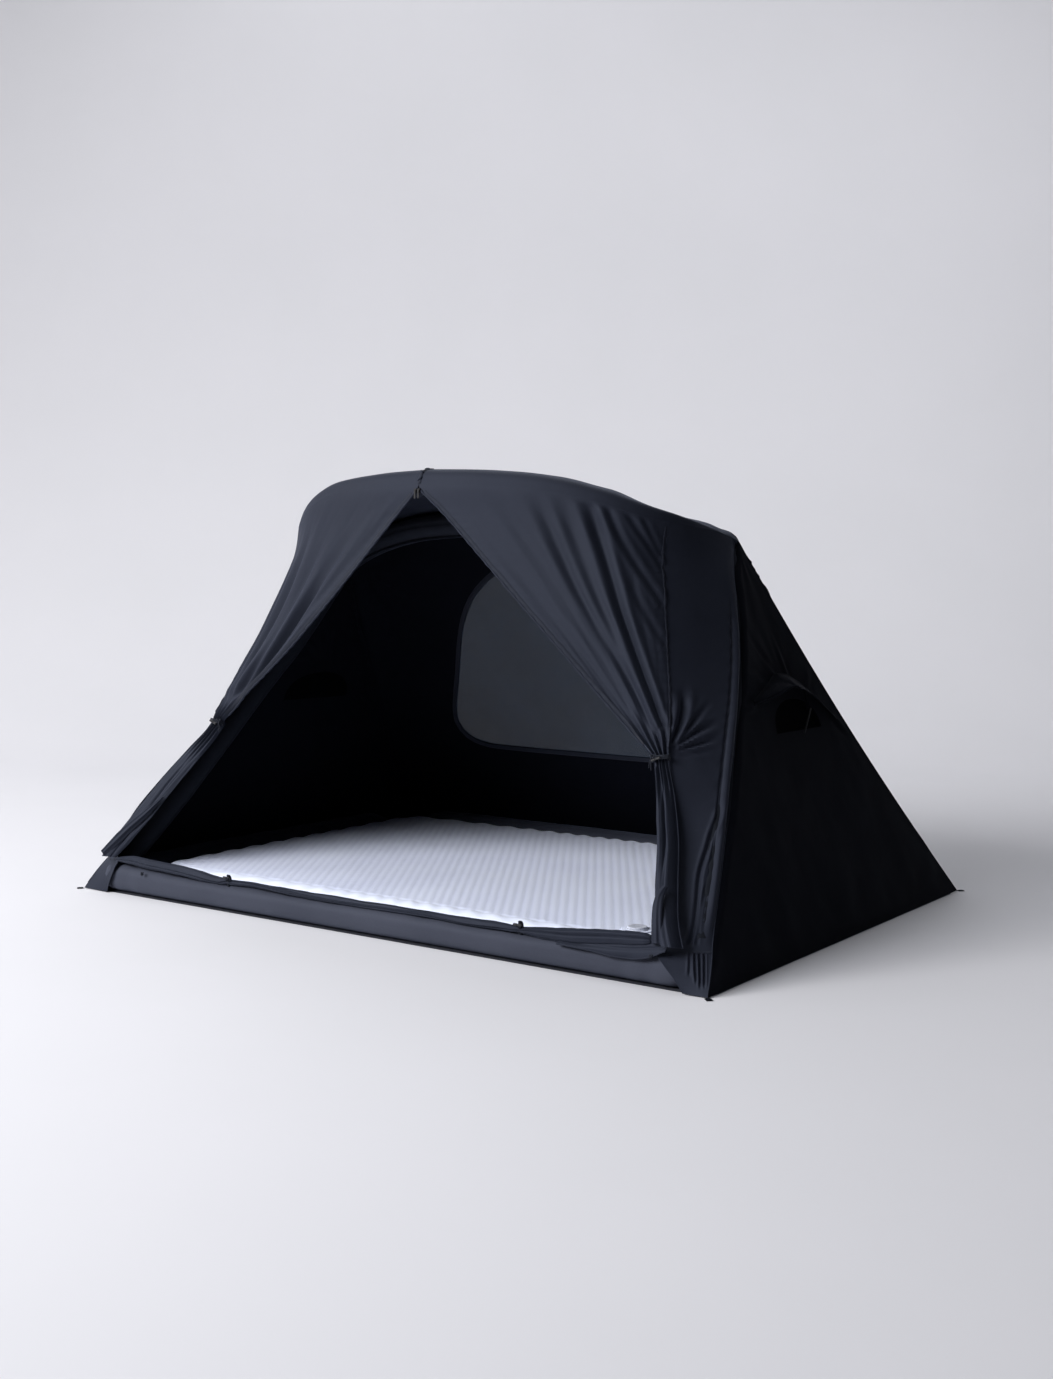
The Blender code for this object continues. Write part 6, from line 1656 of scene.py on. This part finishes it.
NR = 620
ROLL_AT = [-1.020, -0.930, -0.870, -0.770, -0.700, -0.645, -0.585, -0.541, -0.505, -0.42, -0.31, -0.227, -0.12, -0.05,
           0.05, 0.15, 0.26, 0.40, 0.50, 0.545, 0.572, 0.60, 0.66, 0.756, 0.85, 0.937, 0.985]
ROLL_TOP = [0.112, 0.126, 0.121, 0.118, 0.116, 0.111, 0.102, 0.098, 0.098, 0.101, 0.098, 0.092, 0.0885, 0.0890,
            0.0885, 0.0900, 0.095, 0.099, 0.102, 0.099, 0.098, 0.100, 0.107, 0.1185, 0.128, 0.134, 0.135]
ROLL_LOW = [0.100, 0.097, 0.092, 0.089, 0.086, 0.081, 0.079, 0.079, 0.081, 0.087, 0.084, 0.081, 0.0800, 0.0790,
            0.0775, 0.0790, 0.081, 0.079, 0.081, 0.0815, 0.0815, 0.080, 0.075, 0.0745, 0.086, 0.096, 0.104]
u = np.linspace(-1, 1, NR)
px_ = -0.0175 + 1.0025 * u
zt_l = np.interp(px_, ROLL_AT, ROLL_TOP)
zl_l = np.interp(px_, ROLL_AT, ROLL_LOW)
soft = np.ones(15) / 15
zt_l = np.convolve(np.pad(zt_l, 7, mode="edge"), soft, "valid")
zl_l = np.convolve(np.pad(zl_l, 7, mode="edge"), soft, "valid")
cz_ = (zt_l + zl_l) / 2
hz_ = (zt_l - zl_l) / 2
cy_ = -0.7900 - 0.012 * step(0.6, 0.8, px_) + 0.003 * np.sin(9 * px_)
SR = 72
w = 2 * np.pi * np.arange(SR) / SR
W_, U_ = np.meshgrid(w, u)
X_ = np.broadcast_to(px_[:, None], W_.shape).copy()
pinch = 1.0
for lx in SILL_LOOP_X:
    pinch = pinch * (1 - 0.22 * np.exp(-((X_ - lx) / 0.010) ** 2))
lump = 1 + 0.05 * perlin(np.stack([X_ * 9, X_ * 0 + 3, X_ * 0], 2)) + 0.05 * perlin(np.stack([X_ * 30, np.cos(W_), np.sin(W_)], 2))
ends = np.sqrt(np.clip((1 - np.abs(U_)) / 0.02, 0, 1))
lip0 = np.interp(X_, [-1.0, -0.55, -0.50, -0.2, 0.1, 0.40, 0.56, 0.60, 1.0], [0.10, -0.35, 0.75, -0.10, 0.5, -0.6, -0.2, 0.30, 0.44])
lip1 = lip0 - 0.95 + 0.2 * np.sin(X_ * 5.3)


def lip(center, deep, wide):
    dlt = (W_ - center + np.pi) % (2 * np.pi) - np.pi
    return -deep * np.exp(-(dlt / wide) ** 2) + deep * 0.7 * np.exp(-((dlt - 2.1 * wide) / (1.3 * wide)) ** 2)


rw = lump * pinch * (0.5 + 0.5 * ends) * (1 + lip(lip0, 0.26, 0.15) + lip(lip1, 0.10, 0.13) + 0.03 * np.sin(W_ * 3 + X_ * 30 + 3 * perlin(np.stack([X_ * 7, W_ * 0, W_ * 0], 2))))
yy = cy_[:, None] - rw * np.cos(W_) * np.clip(hz_ * 0.9 + 0.003, 0.0085, 0.0155)[:, None]
zz = cz_[:, None] + rw * np.sin(W_) * hz_[:, None] * 1.04
g = np.stack([X_, yy, zz], 2)
r_, k_ = g.shape[:2]
i, j = np.meshgrid(np.arange(r_ - 1), np.arange(k_), indexing="ij")
quads = np.stack([i * k_ + j, i * k_ + (j + 1) % k_, (i + 1) * k_ + (j + 1) % k_, (i + 1) * k_ + j], -1).reshape(-1, 4)
verts = np.vstack([g.reshape(-1, 3), g[0].mean(0), g[-1].mean(0)])
nv = r_ * k_
tris = [((m_ + 1) % k_, m_, nv) for m_ in range(k_)] + [((r_ - 1) * k_ + m_, (r_ - 1) * k_ + (m_ + 1) % k_, nv + 1) for m_ in range(k_)]
uv = np.stack([X_, W_ * ROLL_R], 2).reshape(-1, 2)
uv = np.vstack([uv, uv[:1], uv[-1:]])
# painted shading on the roll: swellings lighter, the grooves of its lips darker
tn = np.clip((rw - 1.0) * 1.2, -1, 1).ravel()
ob = build("door_hem_roll", verts, quads, M_CANOPY, uv, tris=tris, painted_shading=np.r_[tn, 0, 0])
bm = bmesh.new()
bm.from_mesh(ob.data)
bmesh.ops.recalc_face_normals(bm, faces=bm.faces)
bm.to_mesh(ob.data)
bm.free()
add(ob, ["door_roll"])

# under its right end a slack fold of the hem hangs over the sill as a crescent
CR_X = [0.705, 0.760, 0.805, 0.883, 0.9425, 0.985, 1.012, 1.030]
CR_LOW = [0.0755, 0.0745, 0.0725, 0.0670, 0.0690, 0.0790, 0.0920, 0.1030]
mcol, mrow = 130, 26
xc = np.linspace(CR_X[0], CR_X[-1], mcol)
top_c = np.interp(xc, px_, zl_l) + 0.010
low_c = np.convolve(np.pad(np.interp(xc, CR_X, CR_LOW), 6, mode="edge"), np.ones(13) / 13, "valid")
low_c = np.minimum(low_c, top_c - 0.002)
tv = np.linspace(0, 1, mrow)[:, None]
gz_ = top_c[None] * (1 - tv) + low_c[None] * tv
gy_ = (-0.8075 - 0.0115 * tv ** 0.8 - 0.0035 * np.sin(np.pi * tv) * np.sin(np.pi * np.linspace(0, 1, mcol))[None]
       + 0.0012 * np.sin(xc * 60 + 3)[None] * tv)
gy_ = gy_ + 0.0030 * np.exp(-((gz_ - (top_c - 0.35 * (top_c - low_c))[None]) / 0.004) ** 2)
ob = cloth("hem_crescent_right", np.stack([np.broadcast_to(xc, gz_.shape), gy_, gz_], 2), 0.0016, (0.85, 0.2, 0.1), M_CANOPY)
add(ob)
edge_c = np.stack([xc, gy_[-1], low_c], 1)
ob = tube("hem_crescent_edge_right", edge_c, 0.0021, 10, M_CANOPY)
add(ob)
ob = knot("hem_crescent_knot_right", on_plane(650.5, 956.5, -0.822), 0.0040, 0.0017, M_CORD)
add(ob)

# at the foot of the right tail the door's hem turns back up in a loop of cloth
line = [(666, 886, -0.742), (661, 893, -0.756), (658, 903, -0.776), (657, 915, -0.793), (657, 930, -0.808), (657.5, 943, -0.816)]
path = spline([on_plane(*q) for q in line], 60)
nrm_l = np.tile(unit(np.array([0.25, -0.96, 0.10])), (60, 1))
acr_l = unit(np.cross(np.gradient(path, axis=0), nrm_l))
wl = np.interp(np.linspace(0, 1, 60), [0, 0.12, 0.4, 1.0], [0.012, 0.020, 0.026, 0.030])
uu_l = np.linspace(-1, 1, 21)
gl = path[:, None] + acr_l[:, None] * (uu_l[None, :, None] * wl[:, None, None] / 2) + nrm_l[:, None] * (
    (0.0055 * (1 - np.abs(uu_l) ** 3))[None, :, None] + 0.0014 * np.sin(uu_l * 7 + 1)[None, :, None] * np.linspace(0.3, 1, 60)[:, None, None])
ob = cloth("door_hem_loop_right", gl, 0.0016, (0.95, 0.2, 0.15), M_CANOPY)
add(ob)
foot_l = spline([on_plane(652, 942, -0.8150), on_plane(661, 942.5, -0.8150), on_plane(671, 942.3, -0.8130)], 40)
ob = strip("door_foot_hem_right", foot_l, np.tile([0, 0, 1.0], (40, 1)), np.tile([0.1, -0.99, 0.0], (40, 1)), 0.010, 0.0016, M_CANOPY, crown=0.0006)
add(ob)
# and on the left it lies as a flat band over the foot of the tail
tl = tails["left"]
path = np.array([tl[int(t_ * (tl.shape[0] - 1)), int(s_ * (tl.shape[1] - 1))] for t_, s_ in ((0.56, 0.90), (0.68, 0.74), (0.79, 0.55), (0.90, 0.34), (0.985, 0.10))])
path = spline([tuple(q) for q in path + np.array([0.002, -0.0065, 0.002])], 60)
nrm_l = np.tile(unit(np.array([0.55, -0.80, 0.25])), (60, 1))
acr_l = unit(np.cross(np.gradient(path, axis=0), nrm_l))
wl = np.interp(np.linspace(0, 1, 60), [0, 0.25, 0.7, 1.0], [0.006, 0.022, 0.030, 0.020])
gl = path[:, None] + acr_l[:, None] * (uu_l[None, :, None] * wl[:, None, None] / 2) + nrm_l[:, None] * (
    (0.0045 * (1 - np.abs(uu_l) ** 3))[None, :, None] + 0.0012 * np.sin(uu_l * 6 + 2)[None, :, None])
ob = cloth("door_hem_loop_left", gl, 0.0016, (-0.85, 0.2, 0.15), M_CANOPY)
add(ob)
ob = knot("hem_knot_left", on_plane(142, 873.5, -0.8155), 0.0050, 0.0018, M_CORD)
add(ob)


# ------------------------------------------------------------------ ties: cord round the gathered cloth, with a knot and short ends
def cord_ring(centre, ax, ay, ra, rb, axis_, turns, radius, count=120, lift=0.0):
    w_ = np.linspace(0, 2 * np.pi * turns, count * turns)
    off_ = (w_ / (2 * np.pi) - turns / 2) * radius * 2.15
    wob = 1 + 0.02 * np.sin(3 * w_ + 1)
    return (np.array(centre) + np.cos(w_)[:, None] * np.array(ax) * (ra * wob)[:, None] + np.sin(w_)[:, None] * np.array(ay) * (rb * wob)[:, None]
            + off_[:, None] * np.array(axis_))


for side, tag in ((1, "right"), (-1, "left")):
    wc = WAIST_C + np.array([0.0006, 0.0012, 0])
    wc = mirror(wc, side)
    axis_ = unit(mirror(TAIL_IN, side) - mirror(WAIST_IN, side))
    axis_ = unit(axis_ + np.array([0, 0, -1.2]))
    ax_ = np.array([1.0, 0, 0]) - axis_ * axis_[0]
    ax_ = unit(ax_)
    ay_ = np.cross(axis_, ax_)
    p = cord_ring(wc, ax_, ay_, 0.0262, 0.0150, axis_, 3, 0.0019)
    p = settle(p)
    ob = tube("tieback_cord_" + tag, p, 0.0019, 10, M_CORD, section=lambda s_, w_: 1 + 0.10 * np.sin(2 * w_ + s_ * 900))
    add(ob, ["tieback_loop_" + tag])
    kc = wc + np.array([-0.020 * side, -0.0115, 0.004])
    ob = knot("tieback_knot_" + tag, settle(kc), 0.0075, 0.0022, M_CORD)
    add(ob)
    for e_, (dx, dz) in enumerate(((-0.010, -0.030), (-0.003, -0.036))):
        q = np.array([kc, kc + np.array([dx * 0.5 * side, -0.004, dz * 0.35]), kc + np.array([dx * side, -0.001, dz])])
        ob = tube("tieback_cord_end_%s_%d" % (tag, e_ + 1), settle(spline(q, 24)), 0.0016, 9, M_CORD,
                  section=lambda s_, w_: 1 + 0.10 * np.sin(2 * w_ + s_ * 900))
        add(ob)

for lx, tag in zip(SILL_LOOP_X, ("left", "right")):
    zm = float(np.interp(lx, px_, cz_))
    p = cord_ring((lx, -0.7925, (zm + 0.0055)), (0, 1, 0), (0, 0, 1), 0.0115, 0.0165, (1, 0, 0), 2, 0.0019)
    p[:, 1] = np.clip(p[:, 1], -0.7935 if tag == "left" else -0.7960, -0.7790)      # behind the room the toggle turns in
    ob = tube("sill_cord_" + tag, p, 0.0019, 10, M_CORD, section=lambda s_, w_: 1 + 0.10 * np.sin(2 * w_ + s_ * 900))
    add(ob, ["sill_loop_" + tag])
    ob = knot("sill_knot_" + tag, (lx + 0.006, -0.8035, zm + 0.0125), 0.0060, 0.0020, M_CORD)
    add(ob)

# ------------------------------------------------------------------ zip head at the top of the doorway
mid_c = roof.shape[1] // 2
hp = resample(roof[0:13, mid_c] + rn[0:13, mid_c] * 0.0004, 40)
hn_ = unit(np.stack([np.interp(np.linspace(0, 1, 40), np.linspace(0, 1, 13), rn[0:13, mid_c][:, q]) for q in range(3)], 1))
surface_strip("zip_head_tape", hp, hn_, 0.011, 0.0012, M_WEB, 0.0010)
for e_, (row_, x0, w0, tilt) in enumerate(((6, 0.0035, 0.0042, 0.5), (17, -0.0030, 0.0046, -0.6), (28, 0.0030, 0.0036, 0.7))):
    c_ = hp[row_] + hn_[row_] * 0.0016
    t_ = unit(hp[row_ + 3] - hp[row_ - 3])
    a_ = np.cross(hn_[row_], t_)
    q = [c_ + a_ * x0 * 2 - t_ * 0.006, c_ + a_ * x0 * tilt, c_ - a_ * x0 * 2 + t_ * 0.006]
    ob = tube("zip_head_fold_%d" % (e_ + 1), spline(q, 26), w0 * np.sin(np.linspace(0.35, 2.9, 26)), 14, M_CANOPY,
              section=lambda s_, w_: 1 + 0.15 * np.sin(2 * w_ + s_ * 60))
    add(ob)

# ------------------------------------------------------------------ corner tabs: webbing loops on their own hinges
for sx, sy, tag in ((1, -1, "front_right"), (-1, -1, "front_left"), (1, 1, "rear_right"), (-1, 1, "rear_left")):
    d = unit(np.array([sx, sy, 0.0]))
    t_ = np.array([-d[1], d[0], 0])
    gap_ = 0.0016 if tag == "rear_left" else 0.0008
    root = np.array([sx * (HX + gap_), sy * (HY + gap_), 0.0016])
    tt_ = np.linspace(0, 1, 22)
    p = root + d * (0.019 * tt_)[:, None] + np.array([0, 0, 1.0]) * (0.0006 * np.sin(np.pi * tt_))[:, None]
    ob = strip("corner_tab_webbing_" + tag, p, np.tile(t_, (22, 1)), np.tile([0, 0, 1.0], (22, 1)), 0.017, 0.0013, M_WALL_PAINTED_SHADE, crown=0.0002, inset=-0.0003)
    add(ob, ["corner_tab_" + tag], body="corner_tab_" + tag)

# ------------------------------------------------------------------ carried-over hard parts
for name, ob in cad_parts.items():
    if ob.hide_render:
        continue
    mat = M_HARD
    if name.startswith("door_zip_slider") or name.startswith("door_zip_pull"):
        mat = M_ZIP
    elif name.startswith("mattress_valve_body") or name.startswith("mattress_valve_cap"):
        mat = M_PALE
    # the vent strut takes the painted-shade moulding
    elif name.startswith("vent_strut"):
        mat = M_INK_PAINTED_SHADE
    elif name.endswith("plunger"):
        mat = M_GREY
    ob.data.materials.clear()
    ob.data.materials.append(mat)
